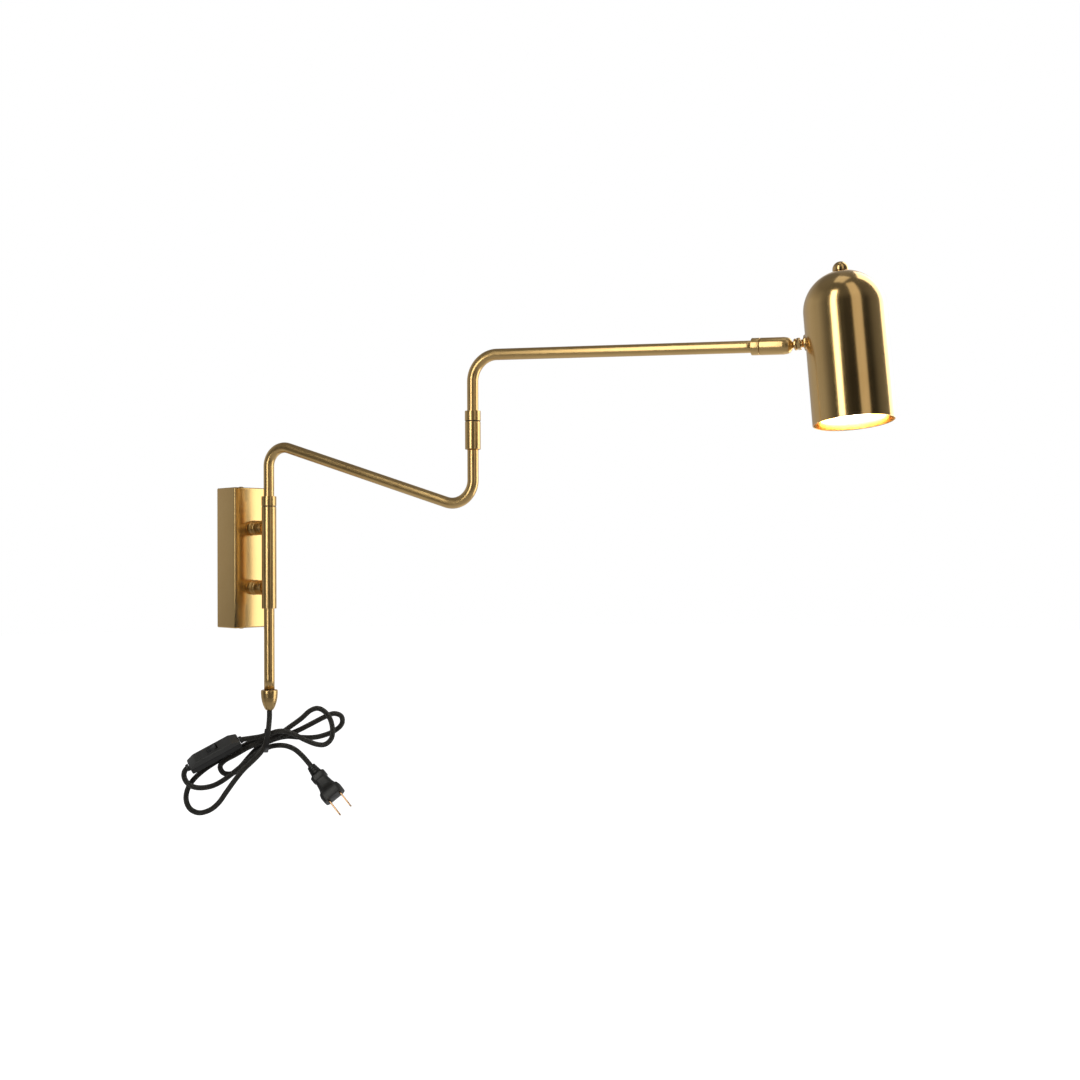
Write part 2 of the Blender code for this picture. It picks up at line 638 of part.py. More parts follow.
def upper_arm(frame, tip):
    """The arm from the elbow to the head. tip is the ball's centre with +X along the arm."""
    corner = math.pi / 2 + UPPER_DROOP
    tangent = UPPER_BEND * math.tan(corner / 2)
    tube_bottom = 0.1052
    collar_start = -0.02953  # behind the ball, along the arm
    steps = (
        (UPPER_TOP - tangent - tube_bottom,),
        (UPPER_BEND, -corner),
        (UPPER_REACH / math.cos(UPPER_DROOP) - tangent - 0.0236,),
    )
    piece("upper_arm_tube", drawn_tube((0, 0, tube_bottom), math.pi / 2, steps),
          frame, satin_brass("upper_tube_brass"))
    piece("elbow_collar", ring(0.0071, BUSH_RADIUS, 0.1212, 0.1300, edge=0.0003),
          frame, satin_brass("elbow_collar_brass"))
    piece("elbow_washer", ring(0.0066, BUSH_RADIUS, 0.1206, 0.1210),
          frame, black_plastic("elbow_washer_black"))
    piece("elbow_circlip", ring(0.0058, BUSH_RADIUS, 0.1066, 0.1078), frame, steel("elbow_circlip_steel"))
    here = tip @ ALONG_X
    piece("head_collar", ring(0.0070, BUSH_RADIUS, collar_start, -0.0228, edge=0.0003), frame,
          satin_brass("head_collar_brass"), here)
    piece("head_nipple", ring(0.0035, 0.0022, -0.0400, -0.0150), frame, steel("head_nipple_steel"), here)
    droop = math.tan(UPPER_DROOP)
    lead = [(0, 0, 0.1050), (0, 0, 0.140), (0, 0, 0.1560), (0.0022, 0, 0.1680), (0.0100, 0, 0.1770)]
    lead += [(out, 0, UPPER_TOP - out * droop) for out in (0.022, 0.100, 0.180, 0.266)]
    tube_curve("upper_arm_lead", lead, 0.0016, frame, black_plastic("upper_lead_black"))


def arc(centre_out, centre_up, radius, start, end, steps):
    """Points of an arc in an outline, angles in degrees from +radius towards +height."""
    return [
        (centre_out + radius * math.cos(angle), centre_up + radius * math.sin(angle))
        for angle in (math.radians(start + (end - start) * step / steps) for step in range(steps + 1))
    ]


def head_socket(frame):
    """The barrel that turns about the arm and holds the ball, along +X from the ball's centre."""
    hollow = BALL_RADIUS + GAP
    lip = 36
    profile = [(0.0067, -0.0225), (0.0070, -0.0222), (0.0070, -0.0036), (0.0067, -0.0010), (0.0060, 0.0011)]
    profile += [(0.0047, hollow * math.sin(math.radians(lip)))]
    profile += arc(0, 0, hollow, lip, 0, 4)
    profile += [(hollow, -0.0140), (0.0038, -0.0144), (0.0038, -0.0225)]
    piece("head_barrel", turned(profile), frame, satin_brass("barrel_brass"), ALONG_X)
    seat = ((0.0020, -0.0080), (0.0045, -0.0080), (0.0045, -0.0026), (0.00415, -0.0026),
            (0.0030, -0.0040), (0.0020, -0.0047))
    piece("ball_seat", turned(seat), frame, nylon("seat_nylon"), ALONG_X)
    turns, around = 4, 12
    coil = []
    for number in range(turns * around + 1):
        angle = math.tau * number / around
        out = -0.0136 + 0.0050 * number / (turns * around)
        coil.append((out, 0.0034 * math.cos(angle), 0.0034 * math.sin(angle)))
    tube_curve("ball_spring", coil, 0.0004, frame, steel("spring_steel"), 1)


def head(frame):
    """The shade on its ball stud. +X runs from the ball to the shade and +Z up the shade's axis."""
    bore = 0.0012
    stem_meets = math.degrees(math.asin(STEM_RADIUS / BALL_RADIUS))
    back_meets = math.degrees(math.asin(bore / BALL_RADIUS))
    stud = [(radius, out) for radius, out in arc(0, 0, BALL_RADIUS, back_meets - 90, 90 - stem_meets, 10)]
    stud += [(STEM_RADIUS, 0.0195), (bore, 0.0195)]
    piece("ball_stud", turned(stud), frame, satin_brass("stud_brass"), ALONG_X)
    hole = STEM_RADIUS + GAP
    swivel = ((hole, 0.0043), (0.0029, 0.0043), (0.00475, 0.0050), (0.00475, 0.0066),
              (0.0045, 0.0068), (hole, 0.0068))
    piece("swivel_ring", turned(swivel), frame, satin_brass("swivel_ring_brass"), ALONG_X)
    piece("lock_nut", hexagon(0.0051, hole, 0.0071, 0.0100),
          frame, satin_brass("lock_nut_brass"), ALONG_X, smooth=False)
    shade_axis = at(SHADE_OUT)
    flare = ((hole, 0.0103), (0.0032, 0.0103), (0.0030, 0.0112), (0.0036, 0.0121), (0.0062, 0.0130),
             (0.0067, 0.0134), (0.0067, 0.0156), (hole, 0.0156))
    saddle = piece("neck_saddle", turned(flare), frame, satin_brass("saddle_brass"), ALONG_X)
    cut(saddle, rod(SHADE_RADIUS + GAP, -0.02, 0.02, 96), shade_axis)
    piece("inner_nut", hexagon(0.0046, hole, 0.0157, 0.0184),
          frame, steel("inner_nut_steel"), ALONG_X, smooth=False)

    inner = SHADE_RADIUS - SHADE_WALL
    rod_hole = 0.0018
    hole_angle = math.degrees(math.acos(rod_hole / SHADE_RADIUS))
    rim = SHADE_SHOULDER - SHADE_SKIRT
    outline = arc(0, SHADE_SHOULDER, SHADE_RADIUS, hole_angle, 0, 7)
    outline += [(SHADE_RADIUS, rim), (inner, rim)] + arc(0, SHADE_SHOULDER, inner, 0, hole_angle, 7)
    shade = piece("shade", turned(outline, 40), frame, satin_brass("shade_brass"), shade_axis)
    cut(shade, rod(hole, 0.010, 0.020, 16), ALONG_X)

    top = SHADE_SHOULDER + SHADE_RADIUS + GAP
    finial_radius = 0.0062
    flat = 15  # where the ball is cut off flat, below its middle
    centre = top + finial_radius * math.sin(math.radians(flat))
    outline = arc(0, centre, finial_radius, -flat, 90, 8)
    outline[-1] = (0, centre + finial_radius)
    outline += [(0, centre + 0.0012), (rod_hole, centre + 0.0012), (rod_hole, top)]
    piece("ball_finial", turned(outline), frame, satin_brass("ball_finial_brass"), shade_axis)

    plate = 0.0105
    piece("finial_rod", rod(0.0015, plate + 0.0001, centre + 0.0008, 12),
          frame, steel("rod_steel"), shade_axis)
    piece("rod_nut", hexagon(0.0042, rod_hole, 0.0474, 0.0502),
          frame, steel("rod_nut_steel"), shade_axis, smooth=False)
    piece("holder_bracket", ring(0.0135, rod_hole, plate, plate + 0.0015),
          frame, steel("holder_bracket_steel"), shade_axis)
    holder = piece(
        "lamp_holder",
        turned(((0, plate - GAP), (0.0130, plate - GAP), (0.0138, plate - 0.0012), (0.0138, -0.0160),
                (0.0126, -0.0160), (0.0126, -0.0096), (0, -0.0096))), frame,
        material("holder_ceramic", (0.85, 0.84, 0.80), 0.4), shade_axis,
    )
    lens_low = rim + 0.009
    base = piece("bulb_base", rod(0.0120, -0.0200, -0.0100),
                 frame, material("base_ceramic", (0.8, 0.8, 0.78), 0.5), shade_axis)
    for side in (-1, 1):
        pin_place = shade_axis @ at(0, side * 0.005)
        cut(holder, rod(0.0026, -0.020, -0.002, 12), pin_place)
        add_shape(base, rod(0.0022, -0.012, -0.004, 12), pin_place)
    piece(
        "bulb_body",
        turned(((0.0120, -0.0203), (0.0245, lens_low + 0.0050), (0.0250, lens_low + 0.0020),
                (0.0236, lens_low + 0.0020), (0.0100, -0.0216), (0.0100, -0.0203)), 32),
        frame, material("bulb_glass", (0.9, 0.9, 0.88), 0.25), shade_axis,
    )
    piece(
        "bulb_lens",
        turned(((0, lens_low - 0.0008), (0.0150, lens_low - 0.0004), (0.0246, lens_low + 0.0003),
                (0.0250, lens_low + 0.0017), (0, lens_low + 0.0017)), 32),
        frame, material("lens_glass", (0.95, 0.93, 0.88), 0.2), shade_axis,
    )


def main():
    clear_scene()
    wall_frame = body_frame("wall_base_frame", Matrix.Identity(4))
    wall_base(wall_frame)

    along_arm = Matrix.Rotation(REST_SWING - math.pi / 2, 4, "Z")
    lower_frame = body_frame("lower_arm_frame", at(0, -AXIS_OUT) @ along_arm)
    lower_arm(lower_frame)
    hanging = cord_bundle(lower_frame)
    lower_world = at(0, -AXIS_OUT) @ along_arm

    # The switch lies along the bundle, its top turned a little towards the room.
    switch_slope = math.radians(27)
    switch_place = (
        hanging @ at(-0.05155, -0.0010, -0.1850) @ Matrix.Rotation(-switch_slope, 4, "Y")
        @ Matrix.Rotation(math.radians(28), 4, "X")
    )
    rocker_frame = body_frame("switch_rocker_frame", lower_world @ switch_place @ at(0, 0, 0.0028))
    switch(lower_frame, rocker_frame, switch_place, math.radians(-9))

    # The plug points down, to the right and out into the room.
    plug_out, plug_fall = math.radians(35), math.atan2(0.795, 0.607)
    plug_place = (
        hanging @ at(0.0392, 0.0, -0.2027) @ Matrix.Rotation(plug_fall, 4, "Y")
        @ Matrix.Rotation(-plug_out, 4, "Z") @ Matrix.Rotation(math.pi / 2, 4, "X")
    )
    plug(lower_frame, plug_place)

    elbow_world = lower_world @ at(LOWER_REACH)
    upper_frame = body_frame("upper_arm_frame", elbow_world)
    ball_height = UPPER_TOP - UPPER_REACH * math.tan(UPPER_DROOP)
    tip = at(UPPER_REACH, 0, ball_height) @ Matrix.Rotation(UPPER_DROOP, 4, "Y")
    upper_arm(upper_frame, tip)

    socket_world = elbow_world @ tip
    head_socket(body_frame("head_socket_frame", socket_world))
    roll = Matrix.Rotation(HEAD_ROLL, 4, "X")
    level = Matrix.Rotation(-UPPER_DROOP - STEM_RISE, 4, "Y")
    head(body_frame("head_frame", socket_world @ roll @ level))


main()
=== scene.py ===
import json
import math

import bmesh
import bpy
from mathutils import Matrix, Vector
from mathutils.geometry import convex_hull_2d


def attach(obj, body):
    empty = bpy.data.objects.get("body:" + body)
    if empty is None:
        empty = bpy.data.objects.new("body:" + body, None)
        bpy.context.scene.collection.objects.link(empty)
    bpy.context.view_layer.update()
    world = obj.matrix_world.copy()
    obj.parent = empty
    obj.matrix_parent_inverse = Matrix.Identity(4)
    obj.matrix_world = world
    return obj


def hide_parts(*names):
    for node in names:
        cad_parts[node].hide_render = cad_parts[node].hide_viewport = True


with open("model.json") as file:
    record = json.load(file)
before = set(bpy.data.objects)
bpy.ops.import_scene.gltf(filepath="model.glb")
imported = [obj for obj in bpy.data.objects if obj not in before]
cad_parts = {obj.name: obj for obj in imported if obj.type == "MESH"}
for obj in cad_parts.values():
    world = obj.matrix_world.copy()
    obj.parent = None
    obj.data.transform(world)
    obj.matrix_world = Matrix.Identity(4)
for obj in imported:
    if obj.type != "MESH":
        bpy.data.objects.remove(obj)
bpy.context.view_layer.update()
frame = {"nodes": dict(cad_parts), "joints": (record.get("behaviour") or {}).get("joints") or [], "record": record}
scene = bpy.context.scene
scene.view_settings.view_transform = "Standard"  # white stays white behind the lamp
joints = {joint["name"]: joint for joint in frame["joints"]}
gap = 0.0003  # between pieces that touch
print("frame loaded,", len(frame["nodes"]), "nodes")


# Camera and stage

camera = {
    "place": (-0.66005, -1.04487, 0.002377),
    "yaw": 46.541,  # degrees from straight at the wall, turned right
    "pitch": 0.657,
    "roll": -0.285,
    "lens": 40.0,
    "sensor": 36.0,
}


def placeCamera(say):
    data = bpy.data.cameras.new("camera")
    data.lens = say["lens"]
    data.sensor_width = say["sensor"]
    eye = bpy.data.objects.new("camera", data)
    scene.collection.objects.link(eye)
    eye.matrix_world = (
        Matrix.Translation(say["place"])
        @ Matrix.Rotation(math.radians(-say["yaw"]), 4, "Z")
        @ Matrix.Rotation(math.radians(90 + say["pitch"]), 4, "X")
        @ Matrix.Rotation(math.radians(say["roll"]), 4, "Z")
    )
    scene.camera = eye


placeCamera(camera)


# Node helpers

class Wire:  # an output socket that takes part in Python sums
    def __init__(self, graph, socket):
        self.graph = graph
        self.socket = socket

    def math(self, operation, first, second=0.0):
        return self.graph.node("ShaderNodeMath", {"operation": operation}, {0: first, 1: second})

    def __add__(self, other):
        return self.math("ADD", self, other)

    def __radd__(self, other):
        return self.math("ADD", other, self)

    def __sub__(self, other):
        return self.math("SUBTRACT", self, other)

    def __rsub__(self, other):
        return self.math("SUBTRACT", other, self)

    def __mul__(self, other):
        return self.math("MULTIPLY", self, other)

    def __rmul__(self, other):
        return self.math("MULTIPLY", other, self)

    def __truediv__(self, other):
        return self.math("DIVIDE", self, other)

    def __abs__(self):
        return self.math("ABSOLUTE", self)

    def sine(self):
        return self.math("SINE", self)


class Graph:  # the nodes of one material or of the world
    def __init__(self, owner):
        self.nodes = owner.node_tree.nodes
        self.links = owner.node_tree.links

    def feed(self, socket, value):
        if isinstance(value, Wire):
            self.links.new(value.socket, socket)
        else:
            socket.default_value = value

    def node(self, kind, settings, values, out=0):
        made = self.nodes.new(kind)
        for key, value in settings.items():
            if key == "stops":
                self.setStops(made.color_ramp, value)
            else:
                setattr(made, key, value)
        for key, value in values.items():
            self.feed(made.inputs[key], value)
        return Wire(self, made.outputs[out])

    def setStops(self, ramp, stops):
        while len(ramp.elements) < len(stops):
            ramp.elements.new(1.0)
        for element, (place, grey) in zip(ramp.elements, stops):
            element.position = place
            element.color = (grey, grey, grey, 1.0) if isinstance(grey, float) else (*grey, 1.0)

    def mix(self, factor, first, second):
        return self.node("ShaderNodeMix", {"data_type": "RGBA"}, {0: factor, 6: first, 7: second}, 2)

    def objectPlace(self, turn=None):  # Object coordinates, turned into a piece's own axes
        place = self.node("ShaderNodeTexCoord", {}, {}, "Object")
        if turn is None:
            return place
        angles = turn.to_3x3().inverted().to_euler()
        return self.node("ShaderNodeMapping", {}, {"Vector": place, "Rotation": angles})

    def uvPlace(self):
        return self.node("ShaderNodeTexCoord", {}, {}, "UV")

    def stretch(self, place, scale):
        return self.node("ShaderNodeVectorMath", {"operation": "MULTIPLY"}, {0: place, 1: scale})

    def noise(self, place, scale, detail=2.0, rough=0.5):
        values = {"Vector": place, "Scale": scale, "Detail": detail, "Roughness": rough}
        return self.node("ShaderNodeTexNoise", {}, values)

    def parts(self, place):
        made = self.nodes.new("ShaderNodeSeparateXYZ")
        self.feed(made.inputs[0], place)
        return [Wire(self, socket) for socket in made.outputs]

    def bump(self, height, strength, distance):
        return self.node("ShaderNodeBump", {}, {"Height": height, "Strength": strength, "Distance": distance})


def newMaterial(name, **fixed):
    made = bpy.data.materials.new(name)
    made.use_nodes = True
    graph = Graph(made)
    shader = graph.nodes["Principled BSDF"].inputs
    for key, value in fixed.items():
        shader[key].default_value = value
    return made, graph, shader


brassFinish = {
    "light": (0.85, 0.595, 0.265, 1.0),
    "deep": (0.68, 0.43, 0.165, 1.0),
    "streaks": 0.09,  # how much the brushing adds to the roughness
}


def brass(name, pattern, turn, rough, depth=0.000006):
    # "drawn" brushing runs along the piece's Z, "turned" goes round it, "swept" follows a tube's UV map
    made, graph, shader = newMaterial(
        name, **{"Metallic": 1.0, "Coat Weight": 0.12, "Coat Roughness": 0.06, "Coat IOR": 1.45}
    )
    scales = {"drawn": (1500.0, 1500.0, 9.0), "turned": (40.0, 40.0, 1700.0)}
    if pattern == "swept":
        around, along, _ = graph.parts(graph.uvPlace())
        angle = around * math.tau
        ringPlace = graph.node("ShaderNodeCombineXYZ", {}, {
            0: angle.sine() * 2.4, 1: (angle + math.pi / 2).sine() * 2.4, 2: along * 3.0,
        })
        streak = graph.noise(ringPlace, 3.0, 3.0, 0.65)
    else:
        place = graph.objectPlace(turn)
        streak = graph.noise(graph.stretch(place, scales[pattern]), 1.0, 3.0, 0.65)
    cloud = graph.noise(graph.objectPlace(), 38.0, 4.0, 0.6)
    speck = graph.noise(graph.objectPlace(), 900.0, 2.0, 0.5)
    tone = cloud * 0.65 + streak * 0.35
    graph.feed(shader["Base Color"], graph.mix(tone, brassFinish["deep"], brassFinish["light"]))
    wear = (streak - 0.5) * brassFinish["streaks"] + (cloud - 0.5) * 0.06 + (speck - 0.5) * 0.02
    graph.feed(shader["Roughness"], wear + rough)
    graph.feed(shader["Normal"], graph.bump(streak, 0.15, depth))
    return made


def steel(name):
    made, graph, shader = newMaterial(name, **{"Metallic": 1.0})
    spangle = graph.noise(graph.objectPlace(), 120.0, 4.0, 0.6)
    grain = graph.noise(graph.stretch(graph.objectPlace(), (900.0, 900.0, 60.0)), 1.0, 2.0, 0.5)
    graph.feed(shader["Base Color"], graph.mix(spangle, (0.50, 0.50, 0.49, 1.0), (0.74, 0.74, 0.72, 1.0)))
    graph.feed(shader["Roughness"], spangle * 0.25 + 0.22)
    graph.feed(shader["Normal"], graph.bump(grain, 0.3, 0.00002))
    return made


def moulded(name, dark, pale, rough, grainScale=2400.0, depth=0.00004, coat=0.0):
    made, graph, shader = newMaterial(name, **{"Coat Weight": coat, "Coat Roughness": 0.2})
    grain = graph.noise(graph.objectPlace(), grainScale, 2.0, 0.6)
    cloud = graph.noise(graph.objectPlace(), 60.0, 3.0, 0.5)
    graph.feed(shader["Base Color"], graph.mix(cloud * 0.6 + grain * 0.4, dark, pale))
    graph.feed(shader["Roughness"], (grain - 0.5) * 0.12 + (cloud - 0.5) * 0.1 + rough)
    graph.feed(shader["Normal"], graph.bump(grain, 0.4, depth))
    return made


braidWeave = {
    "strands": 12,  # carriers each way round the cord
    "turn": 0.021,  # metres along the cord for one turn of a strand
    "dark": (0.006, 0.0055, 0.005, 1.0),
    "pale": (0.062, 0.057, 0.047, 1.0),
}


def braid(name, length):
    made, graph, shader = newMaterial(
        name, **{"Sheen Weight": 0.25, "Sheen Roughness": 0.4, "Specular IOR Level": 0.3}
    )
    around, along, _ = graph.parts(graph.uvPlace())
    turns = along * (length / braidWeave["turn"])
    oneWay = (around + turns) * (braidWeave["strands"] * math.pi)
    otherWay = (around - turns) * (braidWeave["strands"] * math.pi)
    over = abs(oneWay.sine())
    under = abs(otherWay.sine())
    pick = (oneWay + otherWay).sine() * 0.5 + 0.5
    strand = over * pick + under * (1 - pick)
    fibre = graph.noise(graph.objectPlace(), 3000.0, 2.0, 0.6)
    dirt = graph.noise(graph.objectPlace(), 90.0, 3.0, 0.5)
    graph.feed(shader["Base Color"], graph.mix(
        strand * 0.55 + fibre * 0.25 + dirt * 0.2, braidWeave["dark"], braidWeave["pale"]))
    graph.feed(shader["Roughness"], fibre * 0.2 + 0.55)
    graph.feed(shader["Normal"], graph.bump(strand + fibre * 0.3, 0.9, 0.00035))
    return made


# Mesh helpers

alongX = Matrix.Rotation(math.pi / 2, 4, "Y")  # lays a piece made up Z along +X
alongY = Matrix.Rotation(math.pi / 2, 4, "X")  # and this along -Y


def at(x=0.0, y=0.0, z=0.0):
    return Matrix.Translation((x, y, z))


def axesFrom(origin, x, y):
    x = Vector(x).normalized()
    y = Vector(y).normalized()
    turn = Matrix((x, y, x.cross(y))).transposed().to_4x4()
    return at(*origin) @ turn


def fillet(corners, closed):
    # corners are (radius, height) or (radius, height, fillet); a fillet is drawn as an arc
    points = []
    count = len(corners)
    for index, corner in enumerate(corners):
        here = Vector(corner[:2])
        size = corner[2] if len(corner) > 2 else 0.0
        if not size or (not closed and index in (0, count - 1)):
            points.append(here)
            continue
        back = (Vector(corners[index - 1][:2]) - here).normalized()
        ahead = (Vector(corners[(index + 1) % count][:2]) - here).normalized()
        half = back.angle(ahead) / 2
        centre = here + (back + ahead).normalized() * size / math.sin(half)
        spread = math.pi - 2 * half
        if back.x * ahead.y - back.y * ahead.x > 0:
            spread = -spread
        start = here + back * size / math.tan(half) - centre
        first = math.atan2(start.y, start.x)
        steps = max(2, round(math.degrees(abs(spread)) / 15))
        for step in range(steps + 1):
            angle = first + spread * step / steps
            points.append(centre + size * Vector((math.cos(angle), math.sin(angle))))
    return points


def arcPoints(centre, radius, start, end, steps):
    angles = [math.radians(start + (end - start) * step / steps) for step in range(steps + 1)]
    return [(centre[0] + radius * math.cos(a), centre[1] + radius * math.sin(a)) for a in angles]


def turned(corners, closed=True, steps=64):
    # spins an outline of (radius, height) about Z; an open outline starts and ends on the axis
    bm = bmesh.new()
    verts = [bm.verts.new((max(point[0], 0.0), 0, point[1])) for point in fillet(corners, closed)]
    pairs = list(zip(verts, verts[1:])) + ([(verts[-1], verts[0])] if closed else [])
    edges = [bm.edges.new(pair) for pair in pairs]
    bmesh.ops.spin(
        bm, geom=verts + edges, cent=(0, 0, 0), axis=(0, 0, 1), angle=math.tau, steps=steps, use_merge=True
    )
    bmesh.ops.remove_doubles(bm, verts=bm.verts, dist=1e-6)
    bmesh.ops.dissolve_degenerate(bm, edges=bm.edges, dist=1e-7)
    return bm


def collarRing(inner, outer, low, high, edge, steps=96):
    return turned(((inner, low), (outer, low, edge), (outer, high, edge), (inner, high)), True, steps)


def block(low, high, edge=0.0, segments=3, axes="XYZ"):
    bm = bmesh.new()
    size = Vector(high) - Vector(low)
    middle = (Vector(high) + Vector(low)) / 2
    bmesh.ops.create_cube(bm, size=1, matrix=Matrix.Translation(middle) @ Matrix.Diagonal((*size, 1)))
    if edge:
        roundEdges(bm, edge, segments, axes)
    return bm


def roundEdges(bm, edge, segments=3, axes="XYZ"):
    chosen = []
    for side in bm.edges:
        run = side.verts[1].co - side.verts[0].co
        longest = max(range(3), key=lambda axis: abs(run[axis]))
        if "XYZ"[longest] in axes:
            chosen.append(side)
    bmesh.ops.bevel(
        bm, geom=chosen, offset=edge, offset_type="OFFSET", segments=segments, profile=0.5,
        affect="EDGES", material=-1, clamp_overlap=True,
    )


def raiseFaces(bm, way):
    # gives flat faces a thickness
    moved = bmesh.ops.extrude_face_region(bm, geom=bm.faces[:] + bm.edges[:])["geom"]
    bmesh.ops.translate(bm, vec=way, verts=[part for part in moved if isinstance(part, bmesh.types.BMVert)])
    bmesh.ops.recalc_face_normals(bm, faces=bm.faces)


def roundChosen(bm, edges, size, segments):
    bmesh.ops.bevel(bm, geom=edges, offset=size, segments=segments, profile=0.5, affect="EDGES", material=-1)


def sliceOff(bm, point, normal):
    # takes away what lies on the normal's side, and closes the cut
    bmesh.ops.bisect_plane(
        bm, geom=bm.verts[:] + bm.edges[:] + bm.faces[:], plane_co=point, plane_no=normal, clear_outer=True
    )
    bmesh.ops.edgeloop_fill(bm, edges=[edge for edge in bm.edges if edge.is_boundary])


def rod(radius, low, high, steps=32, place=None):
    made = turned(((0, low), (radius, low), (radius, high), (0, high)), False, steps)
    if place:
        bmesh.ops.transform(made, matrix=place, verts=made.verts)
    return made


def hexBar(radius, low, high):
    bm = bmesh.new()
    bmesh.ops.create_circle(bm, cap_ends=True, segments=6, radius=radius, matrix=at(z=low))
    raiseFaces(bm, (0, 0, high - low))
    return bm


def nut(radius, low, high, hole):
    bm = hexBar(radius, low, high)
    edges = [edge for edge in bm.edges if abs(edge.verts[0].co.z - edge.verts[1].co.z) < 1e-6]
    roundChosen(bm, edges, 0.0004, 2)
    return carve(bm, [rod(hole, low - 0.01, high + 0.01)])


def asObject(name, bm):
    mesh = bpy.data.meshes.new(name)
    bm.to_mesh(mesh)
    bm.free()
    made = bpy.data.objects.new(name, mesh)
    scene.collection.objects.link(made)
    return made


def outward(bm):
    bmesh.ops.remove_doubles(bm, verts=bm.verts, dist=1e-6)
    bmesh.ops.recalc_face_normals(bm, faces=bm.faces)
    if bm.calc_volume(signed=True) < 0:
        bmesh.ops.reverse_faces(bm, faces=bm.faces)
    return bm


def combine(bm, others, operation):
    body = asObject("combined", outward(bm))
    helpers = [asObject("helper", outward(other)) for other in others]
    for helper in helpers:
        step = body.modifiers.new("step", "BOOLEAN")
        step.object = helper
        step.operation = operation
    graph = bpy.context.evaluated_depsgraph_get()
    result = bmesh.new()
    result.from_mesh(body.evaluated_get(graph).to_mesh())
    for thing in [body] + helpers:
        bpy.data.objects.remove(thing)
    return result


def carve(bm, cutters):
    return combine(bm, cutters, "DIFFERENCE")


def makePiece(name, bm, place, finish, body, nodes, sharp=32):
    bmesh.ops.transform(bm, matrix=place, verts=bm.verts)
    outward(bm)
    piece = asObject(name, bm)
    return settle(piece, finish, body, nodes, sharp)


def settle(piece, finish, body, nodes, sharp=32):
    piece.data.shade_smooth()
    if sharp:
        piece.data.set_sharp_from_angle(angle=math.radians(sharp))
    piece.data.materials.clear()
    piece.data.materials.append(finish)
    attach(piece, body)
    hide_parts(*nodes)
    return piece


def sweep(name, points, radius, sides):
    # a round tube along points, with a UV map of (around, along)
    curve = bpy.data.curves.new(name, "CURVE")
    curve.dimensions = "3D"
    curve.bevel_depth = radius
    curve.bevel_resolution = (sides - 4) // 2
    curve.use_fill_caps = True
    spline = curve.splines.new("POLY")
    spline.points.add(len(points) - 1)
    for target, point in zip(spline.points, points):
        target.co = (*point, 1)
    helper = bpy.data.objects.new("line", curve)
    scene.collection.objects.link(helper)
    bpy.context.view_layer.update()
    graph = bpy.context.evaluated_depsgraph_get()
    mesh = bpy.data.meshes.new_from_object(helper.evaluated_get(graph))
    bpy.data.objects.remove(helper)
    mesh.name = name
    bm = bmesh.new()
    bm.from_mesh(mesh)
    bmesh.ops.remove_doubles(bm, verts=bm.verts, dist=1e-6)
    if bm.calc_volume(signed=True) < 0:
        bmesh.ops.reverse_faces(bm, faces=bm.faces)
    bm.to_mesh(mesh)
    bm.free()
    piece = bpy.data.objects.new(name, mesh)
    scene.collection.objects.link(piece)
    return piece


def smoothRoute(points, spacing):
    # points a given distance apart on the Catmull-Rom curve through the route's points
    points = [Vector(point) for point in points]
    ends = [2 * points[0] - points[1]] + points + [2 * points[-1] - points[-2]]
    fine = []
    for a, b, c, d in zip(ends, ends[1:], ends[2:], ends[3:]):
        for step in range(20):
            t = step / 20
            fine.append(0.5 * (2 * b + (c - a) * t + (2 * a - 5 * b + 4 * c - d) * t**2
                               + (3 * b - a - 3 * c + d) * t**3))
    fine.append(points[-1])
    lengths = [0.0]
    for first, second in zip(fine, fine[1:]):
        lengths.append(lengths[-1] + (second - first).length)
    count = round(lengths[-1] / spacing)
    chosen = []
    index = 0
    for step in range(count + 1):
        want = lengths[-1] * step / count
        while index < len(fine) - 2 and lengths[index + 1] < want:
            index += 1
        share = (want - lengths[index]) / (lengths[index + 1] - lengths[index])
        chosen.append(fine[index].lerp(fine[index + 1], share))
    return chosen, lengths[-1]


# The frames that the pieces stand in

up = Vector((0, 0, 1))
swing = Vector(joints["base_swing"]["pos_m"])
elbow = Vector(joints["elbow_swing"]["pos_m"])
ball = Vector(joints["head_roll"]["pos_m"])
armAxis = Vector(joints["head_roll"]["axis"])
tiltAxis = Vector(joints["head_tilt"]["axis"])
armOut = Vector((elbow.x - swing.x, elbow.y - swing.y, 0)).normalized()
lowerReach = Vector((elbow.x - swing.x, elbow.y - swing.y)).length
baseFrame = at(*swing)
lowerFrame = axesFrom(swing, armOut, up.cross(armOut))
upperFrame = axesFrom((elbow.x, elbow.y, 0), armOut, up.cross(armOut))
socketFrame = axesFrom(ball, armAxis, up.cross(armAxis))
stemRise = 7.5  # degrees from the arm's line up to the stem
headFrame = axesFrom(ball, Matrix.Rotation(math.radians(stemRise), 3, tiltAxis) @ armAxis, -tiltAxis)
bundleFrame = at(*swing) @ Matrix.Rotation(math.radians(-30), 4, "Z")


# Cord

cord = {
    "radius": 0.0025,
    "spacing": 0.0016,
    "sides": 20,
}

